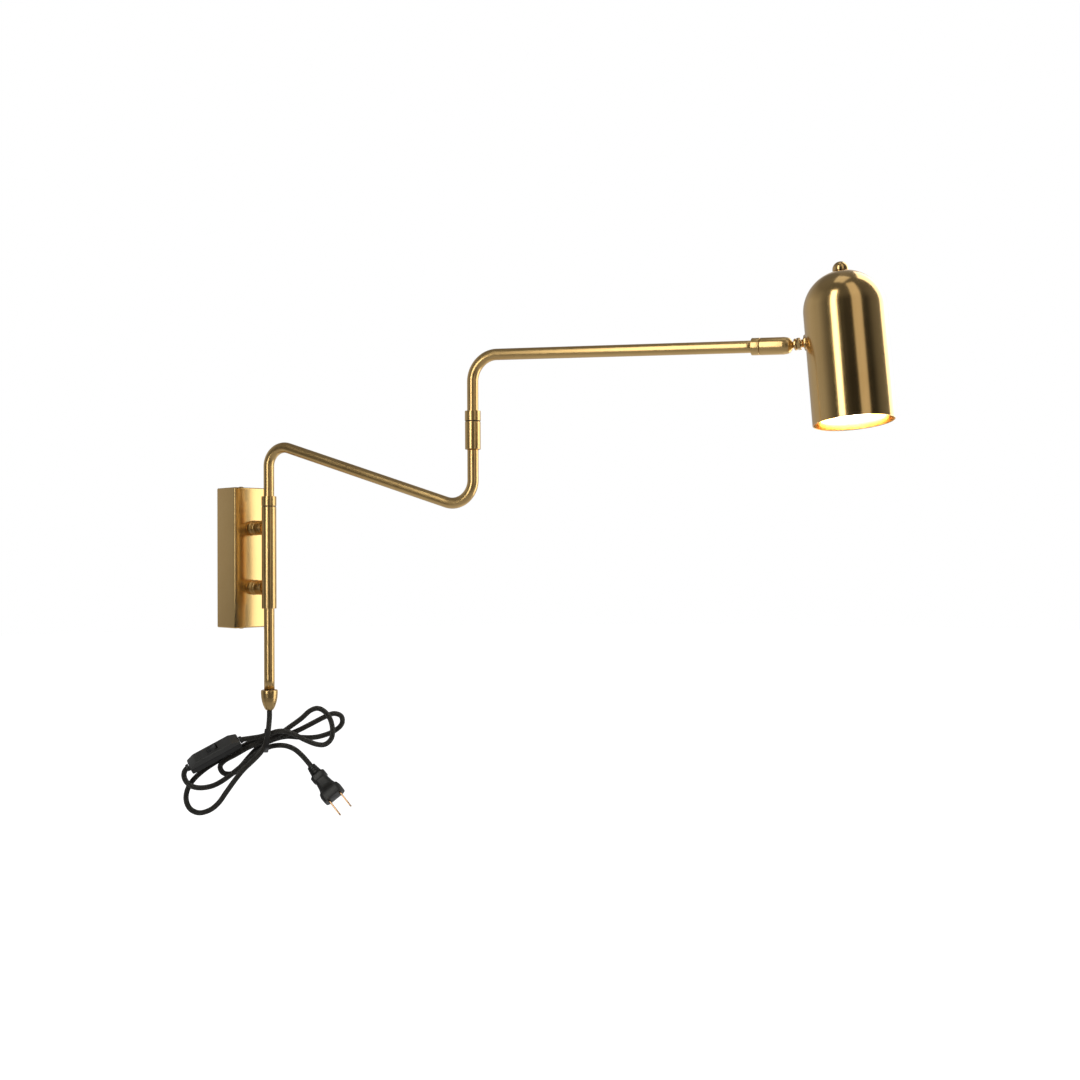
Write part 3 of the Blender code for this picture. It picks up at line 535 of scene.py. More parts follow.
# across the bundle, towards the room, up
upperRoute = (
    (0.0000, 0.0000, -0.1471),
    (0.0000, 0.0006, -0.1520),
    (-0.0006, 0.0032, -0.1585),
    (-0.0016, 0.0070, -0.1650),
    (-0.0027, 0.0087, -0.1710),
    (-0.0046, 0.0090, -0.1780),
    (-0.0084, 0.0088, -0.1850),
    (-0.0150, 0.0078, -0.1922),
    (-0.0251, 0.0060, -0.2020),
    (-0.0334, 0.0034, -0.2127),
    (-0.0405, 0.0005, -0.2232),
    (-0.0476, -0.0028, -0.2337),
    (-0.0558, -0.0055, -0.2404),
    (-0.0655, -0.0075, -0.2426),
    (-0.0734, -0.0088, -0.2385),
    (-0.0770, -0.0096, -0.2300),
    (-0.0758, -0.0098, -0.2205),
    (-0.0705, -0.0098, -0.2115),
    (-0.0610, -0.0098, -0.2028),
    (-0.0480, -0.0098, -0.1945),
    (-0.0340, -0.0098, -0.1865),
    (-0.0200, -0.0098, -0.1796),
    (-0.0080, -0.0098, -0.1754),
    (0.0040, -0.0098, -0.1746),
    (0.0150, -0.0098, -0.1733),
    (0.0270, -0.0098, -0.1694),
    (0.0400, -0.0098, -0.1634),
    (0.0530, -0.0098, -0.1572),
    (0.0625, -0.0100, -0.1540),
    (0.0700, -0.0104, -0.1570),
    (0.0706, -0.0108, -0.1645),
    (0.0640, -0.0112, -0.1708),
    (0.0530, -0.0118, -0.1752),
    (0.0420, -0.0128, -0.1770),
    (0.0300, -0.0144, -0.1764),
    (0.0180, -0.0152, -0.1752),
    (0.0080, -0.0148, -0.1766),
    (-0.0030, -0.0130, -0.1803),
    (-0.0115, -0.0120, -0.1855),
    (-0.0190, -0.0116, -0.1930),
    (-0.0260, -0.0114, -0.2010),
    (-0.0340, -0.0110, -0.2075),
    (-0.0425, -0.0096, -0.2065),
    (-0.0458, -0.0070, -0.1995),
    (-0.0412, -0.0048, -0.1935),
    (-0.0320, -0.0044, -0.1888),
    (-0.0200, -0.0044, -0.1824),
    (-0.0090, -0.0044, -0.1785),
    (0.0000, -0.0044, -0.1757),
    (0.0100, -0.0044, -0.1708),
    (0.0204, -0.0042, -0.1638),
    (0.0306, -0.0036, -0.1566),
    (0.0385, -0.0028, -0.1496),
    (0.0460, -0.0020, -0.1472),
    (0.0530, -0.0013, -0.1508),
    (0.0582, -0.0007, -0.1585),
    (0.0602, 0.0000, -0.1682),
    (0.0590, 0.0004, -0.1768),
    (0.0530, 0.0007, -0.1822),
    (0.0450, 0.0009, -0.1818),
    (0.0350, 0.0010, -0.1776),
    (0.0255, 0.0010, -0.1724),
    (0.0165, 0.0010, -0.1682),
    (0.0080, 0.0010, -0.1674),
    (-0.0010, 0.0010, -0.1698),
    (-0.0090, 0.0010, -0.1718),
    (-0.0180, 0.0010, -0.1728),
    (-0.0268, 0.0010, -0.1737),
)
lowerRoute = (
    (-0.0752, 0.0010, -0.1976),
    (-0.0776, 0.0009, -0.1996),
    (-0.0790, 0.0006, -0.2036),
    (-0.0782, 0.0001, -0.2085),
    (-0.0750, -0.0008, -0.2134),
    (-0.0698, -0.0018, -0.2168),
    (-0.0620, -0.0030, -0.2182),
    (-0.0520, -0.0040, -0.2168),
    (-0.0420, -0.0044, -0.2118),
    (-0.0320, -0.0044, -0.2045),
    (-0.0216, -0.0044, -0.1962),
    (-0.0120, -0.0044, -0.1888),
    (-0.0040, -0.0044, -0.1843),
    (0.0050, -0.0044, -0.1819),
    (0.0150, -0.0044, -0.1824),
    (0.0237, -0.0056, -0.1862),
    (0.0305, -0.0062, -0.1922),
    (0.0364, -0.0033, -0.1990),
    (0.0392, 0.0000, -0.2027),
)


def makeCord(name, route):
    points, length = smoothRoute([bundleFrame @ Vector((x, -out, z)) for x, out, z in route], cord["spacing"])
    piece = sweep(name, points, cord["radius"], cord["sides"])
    node = name.replace("flex", "cord")
    settle(piece, braid(name + "_weave", length), "lower_arm", [node], 40)
    print(name, round(length, 3), "m")
    return piece


# Wall box and sleeve

wallBox = {
    "size": (0.041, 0.032, 0.137),
    "edge": 0.0014,
    "wall": 0.0015,
    "postHeight": 0.029,
    "postRadius": 0.0074,
    "sleeveRadius": 0.007,
    "sleeveHalf": 0.049,
}


def makeWallBox(say):
    wide, deep, high = say["size"]
    shell = block((-wide / 2, -deep, -high / 2), (wide / 2, 0.006, high / 2), say["edge"], 4)
    sliceOff(shell, (0, -0.0009, 0), (0, 1, 0))
    wall = say["wall"]
    hollow = block((wall - wide / 2, wall - deep, wall - high / 2), (wide / 2 - wall, 0.01, high / 2 - wall))
    cover = carve(shell, [hollow])
    finish = brass("box_brass", "drawn", None, 0.19)
    makePiece("box_cover", cover, at(), finish, "wall_base", ["wall_box_cover"])
    for side, word in ((1, "top"), (-1, "bottom")):
        head = turned(
            ((0, -0.0045), (0.0013, -0.0045), (0.0013, -0.0001), (0.0028, 0.0, 0.0002),
             (0.0028, 0.0006, 0.0002), (0.0022, 0.0013, 0.0006), (0.0010, 0.0016, 0.0010), (0, 0.0016)),
            False, 40)
        slots = [block((-0.0016, -0.00028, 0.0008), (0.0016, 0.00028, 0.003)),
                 block((-0.00028, -0.0016, 0.0008), (0.00028, 0.0016, 0.003))]
        place = at(0, -0.011, side * (high / 2 + gap)) @ Matrix.Rotation(0 if side > 0 else math.pi, 4, "X")
        makePiece("cover_screw_head_" + word, carve(head, slots), place, finish, "wall_base",
                  ["cover_screw_" + word])


def makePosts(say):
    deep = say["size"][1]
    face = -swing.y - say["sleeveRadius"]
    outer = say["postRadius"]
    rim, groove, neck = outer - 0.0002, outer - 0.0007, outer - 0.0009
    finish = brass("post_brass", "turned", alongY, 0.28)
    for word, height in (("upper", say["postHeight"]), ("lower", -say["postHeight"])):
        place = at(z=height) @ alongY
        flange = turned(
            ((0.0023, deep + gap), (outer, deep + gap, 0.0004), (outer, deep + 0.0042, 0.0003),
             (neck, deep + 0.0046, 0.0002), (neck, deep + 0.0054, 0.0002),
             (rim, deep + 0.0058, 0.0003), (rim, deep + 0.0070, 0.0003), (0.0023, deep + 0.0070)))
        makePiece("post_flange_" + word, flange, place, finish, "wall_base", ["standoff_ring_" + word])
        stem = turned(
            ((0.0023, deep + 0.0073), (rim, deep + 0.0073, 0.0003), (rim, deep + 0.0096, 0.0003),
             (groove, deep + 0.0100, 0.0001), (groove, deep + 0.0104, 0.0001),
             (rim, deep + 0.0108, 0.0003), (rim, face + 0.0016), (0.0023, face + 0.0016)))
        way = rod(say["sleeveRadius"] + gap, -0.03, 0.03, 96, place.inverted() @ baseFrame @ at(z=height))
        makePiece("post_stem_" + word, carve(stem, [way]), place, finish, "wall_base",
                  ["standoff_post_" + word])


def makeSleeve(say):
    half = say["sleeveHalf"]
    outer = say["sleeveRadius"]
    sleeve = collarRing(0.0062, outer, -half, half, 0.00035)
    makePiece("pivot_sleeve", sleeve, baseFrame, brass("pivot_brass", "drawn", None, 0.29),
              "wall_base", ["base_sleeve"])


# Arms

arms = {
    "tube": 0.005,
    "sides": 48,
    "bottom": -0.127,
    "top": 0.112,  # height of the lower arm's upper corner
    "slope": 18.0,
    "bends": (0.0175, 0.0205),
    "elbowBottom": 0.09575,
    "elbowSplit": 0.1204,
    "upperTop": 0.180,
    "droop": 2.5,
    "upperBend": 0.023,
    "collarStart": 0.0236,  # from the ball back to the end of the upper tube
}


def tubeLine(start, heading, steps):
    # a step is (length,) or (bend radius, turn in degrees); the line lies in the XZ plane
    point = Vector((start[0], 0, start[1]))
    angle = math.radians(heading)
    points = [point.copy()]
    for step in steps:
        if len(step) == 1:
            pieces = max(1, round(step[0] / 0.01))
            for _ in range(pieces):
                point += step[0] / pieces * Vector((math.cos(angle), 0, math.sin(angle)))
                points.append(point.copy())
            continue
        radius, turn = step[0], math.radians(step[1])
        side = math.copysign(radius, turn)
        centre = point + side * Vector((-math.sin(angle), 0, math.cos(angle)))
        pieces = round(abs(step[1]) / 3)
        for _ in range(pieces):
            angle += turn / pieces
            point = centre + side * Vector((math.sin(angle), 0, -math.cos(angle)))
            points.append(point.copy())
    return points


def makeTube(name, line, place, body):
    tube = sweep(name, [place @ point for point in line], arms["tube"], arms["sides"])
    settle(tube, brass(name + "_brass", "swept", None, 0.30), body, [body + "_tube"], 0)


def makeLowerArm(say):
    corner = 90 + say["slope"]
    high, low = (bend * math.tan(math.radians(corner / 2)) for bend in say["bends"])
    slope = math.radians(say["slope"])
    elbowCorner = say["top"] - lowerReach * math.tan(slope)
    line = tubeLine((0, say["bottom"]), 90, (
        (say["top"] - high - say["bottom"],),
        (say["bends"][0], -corner),
        (lowerReach / math.cos(slope) - high - low,),
        (say["bends"][1], corner),
        (say["elbowBottom"] + 0.007 - elbowCorner - low,),
    ))
    makeTube("lower_tube", line, lowerFrame, "lower_arm")

    ringFinish = brass("lower_ring_brass", "turned", None, 0.29)
    collar = collarRing(0.0053, 0.0071, 0.0498, 0.0590, 0.0003, 64)
    screwWay = at(z=0.0544) @ Matrix.Rotation(math.pi, 4, "Z") @ alongX
    hole = rod(0.0015, 0, 0.01, 24, screwWay)
    makePiece("pivot_collar", carve(collar, [hole]), lowerFrame, ringFinish, "lower_arm",
              ["base_collar"])
    grub = turned(((0, 0.0053), (0.0012, 0.0053), (0.0012, 0.0067, 0.0002), (0, 0.0067)), False, 24)
    makePiece("grub_screw", carve(grub, [hexBar(0.0007, 0.0059, 0.0089)]), lowerFrame @ screwWay,
              steel("grub_black_steel"), "lower_arm", ["collar_grub_screw"])

    acorn = turned(
        ((0.0051, -0.1273), (0.0076, -0.1273, 0.0003), (0.0080, -0.1279, 0.0003), (0.0080, -0.1304, 0.0010),
         (0.0077, -0.1345, 0.0060), (0.0070, -0.1385, 0.0080), (0.0058, -0.1423, 0.0060),
         (0.0044, -0.1453, 0.0030), (0.0034, -0.1466, 0.0008), (0.0030, -0.1468, 0.0002),
         (0.0027, -0.1462), (0.0027, -0.1372), (0.0051, -0.1366)), True, 96)
    makePiece("acorn_end", acorn, lowerFrame, brass("acorn_end_brass", "turned", None, 0.30), "lower_arm",
              ["acorn_finial"], 25)

    sleeve = turned(
        ((0.0052, say["elbowBottom"]), (0.0070, say["elbowBottom"], 0.0004),
         (0.0070, say["elbowSplit"], 0.0003), (0.0062, say["elbowSplit"]),
         (0.0062, 0.1040), (0.0052, 0.1035)), True, 96)
    makePiece("elbow_socket", sleeve, lowerFrame @ at(lowerReach), brass("elbow_brass", "drawn", None, 0.29),
              "lower_arm", ["elbow_sleeve"])


def makeUpperArm(say):
    corner = 90 + say["droop"]
    droop = math.radians(say["droop"])
    tangent = say["upperBend"] * math.tan(math.radians(corner / 2))
    reach = Vector((ball.x - elbow.x, ball.y - elbow.y)).length
    line = tubeLine((0, 0.1052), 90, (
        (say["upperTop"] - tangent - 0.1052,),
        (say["upperBend"], -corner),
        (reach / math.cos(droop) - tangent - say["collarStart"],),
    ))
    makeTube("upper_tube", line, upperFrame, "upper_arm")
    collar = collarRing(0.0053, 0.0071, 0.1212, 0.1300, 0.0003)
    makePiece("elbow_ring", collar, upperFrame, brass("elbow_ring_brass", "turned", None, 0.29),
              "upper_arm", ["elbow_collar"])
    place = socketFrame @ alongX
    ring = collarRing(0.0053, 0.0070, -0.02953, -0.0228, 0.0004)
    makePiece("tip_collar", ring, place, brass("tip_brass", "turned", place, 0.29), "upper_arm",
              ["head_collar"])


# Head

head = {
    "shadeOut": 0.0455,
    "radius": 0.0315,
    "wall": 0.001,
    "shoulder": 0.021,
    "skirt": 0.090,
    "ball": 0.00455,
    "stem": 0.002,
    "glow": (1.0, 0.80, 0.52, 1.0),
    "glowStrength": 20.0,
}


def makeSocket(say):
    place = socketFrame @ alongX
    hollow = say["ball"] + gap
    outline = [(0.0038, -0.0225), (0.0070, -0.0225, 0.0004), (0.0070, -0.0036, 0.0006),
               (0.0066, -0.0008, 0.0010), (0.0059, 0.0012, 0.0005)]
    outline += arcPoints((0, 0), hollow, 36, 0, 10) + [(hollow, -0.0140), (0.0038, -0.0144)]
    makePiece("swivel_barrel", turned(outline, True, 96), place, brass("barrel_brass", "turned", place, 0.29),
              "head_socket", ["head_barrel"])


def makeStem(say):
    place = headFrame @ alongX
    finish = brass("stem_brass", "turned", place, 0.22)
    stud = arcPoints((0, 0), say["ball"], -90, 90 - math.degrees(math.asin(say["stem"] / say["ball"])), 24)
    stud[0] = (0, -say["ball"])
    stud += [(say["stem"], 0.0195), (0, 0.0195)]
    makePiece("ball_and_stem", turned(stud, False, 64), place, finish, "head", ["ball_stud"])
    hole = say["stem"] + gap
    ring = turned(
        ((hole, 0.0043), (0.0029, 0.0043), (0.00475, 0.0050, 0.0003), (0.00475, 0.0066, 0.0003),
         (0.0042, 0.0068), (hole, 0.0068)), True, 64)
    makePiece("swivel_washer", ring, place, finish, "head", ["swivel_ring"])
    makePiece("stem_nut", nut(0.0051, 0.0071, 0.0100, hole), place,
              brass("nut_brass", "turned", place, 0.22), "head", ["lock_nut"])
    flare = turned(
        ((hole, 0.0103), (0.0033, 0.0103, 0.0004), (0.0030, 0.0112, 0.0006), (0.0038, 0.0122, 0.0012),
         (0.0062, 0.0130, 0.0006), (0.0067, 0.0136, 0.0003), (0.0067, 0.0175), (hole, 0.0175)), True, 96)
    way = rod(say["radius"] + gap, -0.03, 0.03, 192, alongX.inverted() @ at(say["shadeOut"]))
    makePiece("shade_saddle", carve(flare, [way]), place, brass("saddle_brass", "turned", place, 0.24),
              "head", ["neck_saddle"])


def makeShade(say):
    place = headFrame @ at(say["shadeOut"])
    rim = say["shoulder"] - say["skirt"]
    outer, inner = say["radius"], say["radius"] - say["wall"]
    hole = 0.0018
    top = math.degrees(math.acos(hole / outer))
    outline = arcPoints((0, say["shoulder"]), outer, top, 0, 28)
    outline += [(outer, rim, 0.00045), (inner, rim, 0.00045)]
    outline += arcPoints((0, say["shoulder"]), inner, 0, top, 28)
    shade = turned(outline, True, 160)
    stemHole = rod(say["stem"] + gap, 0.010, 0.020, 32, at(-say["shadeOut"]) @ alongX)
    finish = brass("shade_brass", "drawn", place, 0.165, 0.000008)
    makePiece("shade_shell", carve(shade, [stemHole]), place, finish, "head", ["shade"], 40)

    ballSize = 0.0062
    flat = 15  # degrees below its middle where the finial's foot is
    base = say["shoulder"] + outer + gap
    centre = base + ballSize * math.sin(math.radians(flat))
    foot = arcPoints((0, centre), ballSize, 90, -flat, 28)
    foot[0] = (0, centre + ballSize)
    foot += [(hole, base), (hole, centre + 0.0012), (0, centre + 0.0012)]
    ball = turned(foot, False, 64)
    makePiece("top_finial", ball, place, brass("finial_brass", "turned", place, 0.22), "head",
              ["ball_finial"], 40)


def makeLamp(say):
    place = headFrame @ at(say["shadeOut"])
    low = say["shoulder"] - say["skirt"] + 0.009
    glass, graph, shader = newMaterial("lens_frosted", **{
        "Emission Strength": say["glowStrength"], "Roughness": 0.3, "Base Color": (0.9, 0.85, 0.75, 1.0),
    })
    frost = graph.noise(graph.objectPlace(), 700.0, 2.0, 0.5)
    graph.feed(shader["Emission Color"], graph.mix(frost, say["glow"], (1.0, 0.90, 0.70, 1.0)))
    graph.feed(shader["Normal"], graph.bump(frost, 0.5, 0.0002))
    lens = turned(
        ((0, low - 0.0008), (0.0150, low - 0.0005, 0.004), (0.0244, low + 0.0002, 0.0006),
         (0.0250, low + 0.0017), (0, low + 0.0017)), False, 96)
    makePiece("lamp_lens", lens, place, glass, "head", ["bulb_lens"])
    body = turned(
        ((0.0120, -0.0203), (0.0150, -0.0290, 0.006), (0.0215, -0.0430, 0.010), (0.0247, low + 0.0060, 0.002),
         (0.0250, low + 0.0020), (0.0236, low + 0.0020), (0.0100, -0.0216), (0.0100, -0.0203)), True, 96)
    silvered = moulded(
        "lamp_glass", (0.55, 0.54, 0.52, 1), (0.78, 0.77, 0.74, 1), 0.2, 300.0, 0.0001, 0.6)
    makePiece("lamp_reflector", body, place, silvered, "head", ["bulb_body"])


# Switch, plug and tie

switchSay = {
    "place": (-0.05155, -0.0010, -0.1850),
    "slope": 27.0,
    "lean": 28.0,  # of its top towards the room
    "size": (0.051, 0.015, 0.0106),
    "nose": (0.0075, 0.0030),  # length and fall of the sloping ends of the top
    "rocker": -9.0,
}
plugSay = {
    "place": (0.0392, 0.0, -0.2027),
    "fall": math.degrees(math.atan2(0.795, 0.607)),
    "out": 35.0,
    "bladeSpacing": 0.0127,
}
switchFrame = (
    bundleFrame @ at(*switchSay["place"]) @ Matrix.Rotation(math.radians(-switchSay["slope"]), 4, "Y")
    @ Matrix.Rotation(math.radians(switchSay["lean"]), 4, "X")
)
plugFrame = (
    bundleFrame @ at(*plugSay["place"]) @ Matrix.Rotation(math.radians(plugSay["fall"]), 4, "Y")
    @ Matrix.Rotation(math.radians(-plugSay["out"]), 4, "Z") @ alongY
)
blackPlastic = moulded("black_moulding", (0.012, 0.012, 0.012, 1), (0.030, 0.030, 0.029, 1), 0.42)
greyPlastic = moulded("satin_moulding", (0.030, 0.030, 0.030, 1), (0.065, 0.065, 0.063, 1), 0.36)


def makeSwitch(say):
    long, wide, high = (size / 2 for size in say["size"])
    entry = rod(cord["radius"] + 0.0002, -0.04, 0.04, 32, alongX)
    wall = 0.0014

    base = block((-long, -wide, -high), (long, wide, 0.0060), 0.0013, 5, "Z")
    sliceOff(base, (0, 0, -gap / 2), (0, 0, 1))
    rim = [edge for edge in base.edges if all(abs(vert.co.z + high) < 1e-6 for vert in edge.verts)]
    roundChosen(base, rim, 0.0009, 4)
    hollow = block((wall - long, wall - wide, wall - high), (long - wall, wide - wall, 0.02))
    screwWay = rod(0.0026, -high - 0.01, -high + 0.0008)
    makePiece("switch_bottom", carve(base, [hollow, entry.copy(), screwWay]), switchFrame, blackPlastic,
              "lower_arm", ["switch_base"], 30)

    cover = block((-long, -wide, -0.006), (long, wide, high), 0.0013, 5, "Z")
    sliceOff(cover, (0, 0, gap / 2), (0, 0, -1))
    length, fall = say["nose"]
    for side in (-1, 1):
        sliceOff(cover, (side * (long - length), 0, high), (side * fall, 0, length))
    outward(cover)
    tops = [face for face in cover.faces if face.normal.z > 0.8]
    rim = {edge for face in tops for edge in face.edges}
    roundChosen(cover, list(rim), 0.0007, 4)
    hollow = block((wall - long, wall - wide, -0.02), (long - wall, wide - wall, high - wall - fall))
    window = block((-0.0056, -0.0036, 0), (0.0056, 0.0036, 0.02), 0.0005, 3, "Z")
    cover = carve(cover, [hollow, entry, window])
    ribs = []
    for index in range(4):
        x = -0.0175 + index * 0.0016
        ribs.append(block((x, -wide + 0.0022, high - 0.0006), (x + 0.0007, wide - 0.0022, high + 0.00025),
                          0.0002, 2, "XY"))
    frameRing = carve(
        block((-0.0068, -0.0048, high - 0.0005), (0.0068, 0.0048, high + 0.0003), 0.0008, 3, "Z"),
        [block((-0.0055, -0.0035, 0), (0.0055, 0.0035, 0.02), 0.0005, 3, "Z")])
    makePiece("switch_top", combine(cover, ribs + [frameRing], "UNION"), switchFrame, greyPlastic,
              "lower_arm",
              ["switch_cover"], 30)

    for word, end, across, height in (("a", long, -0.00055, -0.00103), ("b", -long, -0.00023, -0.00043)):
        collar = turned(((0, gap), (0.0036, gap, 0.0003), (0.0036, 0.0014, 0.0004), (0.0032, 0.0030, 0.0003),
                         (0.0028, 0.0030), (0.0028, 0.00075), (0, 0.00075)), False, 40)
        place = switchFrame @ at(end, across, height) @ alongX
        if end < 0:
            place = place @ Matrix.Rotation(math.pi, 4, "X")
        makePiece("switch_collar_" + word, collar, place, blackPlastic, "lower_arm", ["switch_base"])

    profile = bmesh.new()
    outline = ((-0.0047, 0.0008), (-0.0018, -0.0022), (0.0018, -0.0022), (0.0047, 0.0008),
               (0.0047, 0.0036), (0.0024, 0.0029), (0.0, 0.0027), (-0.0024, 0.0029), (-0.0047, 0.0036))
    profile.faces.new([profile.verts.new((x, -0.0032, z)) for x, z in outline])
    raiseFaces(profile, (0, 0.0064, 0))
    roundChosen(profile, profile.edges[:], 0.00025, 3)
    rocker = carve(profile, [rod(0.0009, -0.01, 0.01, 24, alongY)])
    place = switchFrame @ at(z=0.0028) @ Matrix.Rotation(math.radians(say["rocker"]), 4, "Y")
    gloss = moulded(
        "rocker_moulding", (0.008, 0.008, 0.008, 1), (0.018, 0.018, 0.018, 1), 0.28, 1800.0, 0.00002, 0.3)
    makePiece("rocker_key", rocker, place, gloss, "switch_rocker", ["switch_rocker"], 30)


def plugSection(bm, out, width, height, corner):
    verts = []
    for sideY, sideZ, start in ((1, 1, 0), (-1, 1, 90), (-1, -1, 180), (1, -1, 270)):
        for step in range(9):
            angle = math.radians(start + 11.25 * step)
            verts.append(bm.verts.new((out, sideY * (width / 2 - corner) + corner * math.cos(angle),
                                       sideZ * (height / 2 - corner) + corner * math.sin(angle))))
    return [bm.edges.new(pair) for pair in zip(verts, verts[1:] + verts[:1])]


def makePlug(say):
    outline = [(0, 2 * gap), (0.0040, 2 * gap)]
    for index in range(4):
        low = 0.0009 + index * 0.0025
        radius = 0.0043 + index * 0.0004
        outline += [(radius, low, 0.0003), (radius, low + 0.0016, 0.0003), (radius - 0.0006, low + 0.0018),
                    (radius - 0.0006, low + 0.0024)]
    outline += [(0.0052, 0.0108), (0, 0.0108)]
    makePiece("plug_boot", turned(outline, False, 48), plugFrame @ alongX, blackPlastic, "lower_arm",
              ["plug_relief"])
    sections = (  # distance along the plug, width, height, corner
        (0.0111, 0.0132, 0.0090, 0.0036), (0.0114, 0.0146, 0.0102, 0.0038), (0.0121, 0.0154, 0.0110, 0.0040),
        (0.0170, 0.0154, 0.0112, 0.0040), (0.0176, 0.0148, 0.0108, 0.0040), (0.0180, 0.0136, 0.0104, 0.0040),
        (0.0195, 0.0134, 0.0104, 0.0040), (0.0260, 0.0152, 0.0112, 0.0040), (0.0298, 0.0174, 0.0124, 0.0040),
        (0.0306, 0.0190, 0.0136, 0.0040), (0.0314, 0.0205, 0.0146, 0.0042), (0.0350, 0.0222, 0.0152, 0.0044),
        (0.0402, 0.0219, 0.0150, 0.0044), (0.0408, 0.0214, 0.0146, 0.0042), (0.0410, 0.0206, 0.0138, 0.0040),
    )
    bm = bmesh.new()
    before = None
    for section in sections:
        edges = plugSection(bm, *section)
        if before:
            bmesh.ops.bridge_loops(bm, edges=before + edges)
        else:
            bmesh.ops.edgeloop_fill(bm, edges=edges)
        before = edges
    bmesh.ops.edgeloop_fill(bm, edges=before)
    slots = []
    for side in (1, -1):
        y = side * say["bladeSpacing"] / 2
        slots.append(block((0.0350, y - 0.0011, -0.0035), (0.05, y + 0.0011, 0.0035)))
    makePiece("plug_moulding", carve(bm, slots), plugFrame, blackPlastic, "lower_arm",
              ["plug_body"], 28)
    bright, graph, shader = newMaterial("blade_brass", **{"Metallic": 1.0})
    scratch = graph.noise(graph.stretch(graph.objectPlace(plugFrame), (300.0, 2200.0, 2200.0)), 1.0, 3.0, 0.6)
    graph.feed(shader["Base Color"], graph.mix(scratch, (0.42, 0.25, 0.13, 1), (0.62, 0.40, 0.22, 1)))
    graph.feed(shader["Roughness"], scratch * 0.2 + 0.16)
    for word, side in (("a", 1), ("b", -1)):
        y = side * say["bladeSpacing"] / 2
        blade = block((0.0353, y - 0.00075, -0.0032), (0.0581, y + 0.00075, 0.0032), 0.0003, 3)
        hole = rod(0.0015, -0.01, 0.01, 32, at(0.0530, y, 0) @ alongY)
        makePiece("plug_pin_" + word, carve(blade, [hole]), plugFrame, bright, "lower_arm",
                  ["plug_blade_" + word])


tieSay = {
    "across": -0.0030,
    "opening": (-0.0044, 0.0162, -0.1886, -0.1662),  # what its solid goes round, towards the room and up
    "halfWidth": 0.0018,
    "clear": 0.0002,
    "wall": 0.0007,
}


def makeTie(say):
    outLow, outHigh, upLow, upHigh = say["opening"]
    strands = []
    for route in (upperRoute, lowerRoute):
        for point in smoothRoute(route, cord["spacing"] / 2)[0]:
            if (abs(point.x - say["across"]) < say["halfWidth"] + 0.0004 and outLow < point.y < outHigh
                    and upLow < point.z < upHigh):
                strands.append(point)
    rings = []
    bm = bmesh.new()
    for size in (cord["radius"] + say["clear"], cord["radius"] + say["clear"] + say["wall"]):
        dots = [(strand.y + out, strand.z + high)
                for strand in strands for out, high in arcPoints((0, 0), size, 0, 350, 35)]
        hull = [dots[index] for index in convex_hull_2d(dots)]
        verts = [bm.verts.new((say["across"] - say["halfWidth"], -out, high)) for out, high in hull]
        rings.append([bm.edges.new(pair) for pair in zip(verts, verts[1:] + verts[:1])])
    bmesh.ops.bridge_loops(bm, edges=rings[0] + rings[1])
    raiseFaces(bm, (2 * say["halfWidth"], 0, 0))
    finish = moulded("tie_moulding", (0.010, 0.010, 0.010, 1), (0.026, 0.026, 0.025, 1), 0.5)
    makePiece("wrap_tie", bm, bundleFrame, finish, "lower_arm", ["cord_tie"])


makeSwitch(switchSay)
makePlug(plugSay)
makeTie(tieSay)
makeCord("flex_upper", upperRoute)
makeCord("flex_lower", lowerRoute)
print("cord, switch and plug")

makeWallBox(wallBox)
makePosts(wallBox)
makeSleeve(wallBox)
print("wall box and sleeve")
makeLowerArm(arms)
makeUpperArm(arms)
print("arms")
makeSocket(head)
makeStem(head)
makeShade(head)
makeLamp(head)
print("head")


# The pieces that stay as they are in the frame get their finish only

def finishCadNodes():
    plated = steel("zinc_plate")
    nylon = moulded("natural_nylon", (0.62, 0.60, 0.54, 1), (0.78, 0.76, 0.70, 1), 0.4)
    rubber = moulded("washer_nylon", (0.012, 0.012, 0.012, 1), (0.028, 0.028, 0.027, 1), 0.5)
    ceramic = moulded(
        "glazed_ceramic", (0.66, 0.65, 0.61, 1), (0.80, 0.79, 0.75, 1), 0.25, 200.0, 0.0001, 0.6)
    contact = brass("contact_spring_brass", "drawn", None, 0.2)
    bySlot = {
        "zinc_steel": plated, "natural_nylon": nylon, "black_nylon": rubber, "lead_insulation": rubber,
        "white_ceramic": ceramic, "contact_brass": contact, "black_plastic": blackPlastic,
    }
    slots = {part["node"]: part["material_slot"] for part in frame["record"]["subparts"]}
    for name, node in frame["nodes"].items():
        if node.hide_render:
            continue
        node.data.materials.clear()
        node.data.materials.append(bySlot[slots[name]])


finishCadNodes()


# Stage

stage = {
    "floorHeight": -0.42,
    "ambient": 1.0,
}

# place, what it faces, width, height, brightness, colour
softboxes = {
    "strip_left": ((-1.23, -0.54, 0.62), (0.09, -0.32, 0.3), 0.42, 1.9, 3.6, (1.0, 0.99, 0.93)),
    "strip_front": ((-0.16, -1.30, 0.62), (0.17, -0.55, 0.3), 0.42, 1.9, 0.62, (1.0, 0.93, 0.84)),
    "panel_right": ((0.62, -0.62, 0.12), (0.0, 0.0, 0.0), 0.44, 1.3, 2.1, (1.0, 0.99, 0.93)),
    "top": ((0.1, -0.5, 1.5), (0.1, -0.3, 0.0), 0.6, 0.5, 0.6, (1.0, 0.98, 0.95)),
}


def makeLights():
    for name, (place, target, width, height, bright, colour) in softboxes.items():
        data = bpy.data.lights.new(name, "AREA")
        data.shape = "RECTANGLE"
        data.size = width
        data.size_y = height
        data.color = colour
        data.energy = bright * math.pi * width * height
        box = bpy.data.objects.new(name, data)
        scene.collection.objects.link(box)
        box.visible_camera = False
        box.location = place
        box.rotation_euler = (Vector(target) - Vector(place)).to_track_quat("-Z", "Y").to_euler()


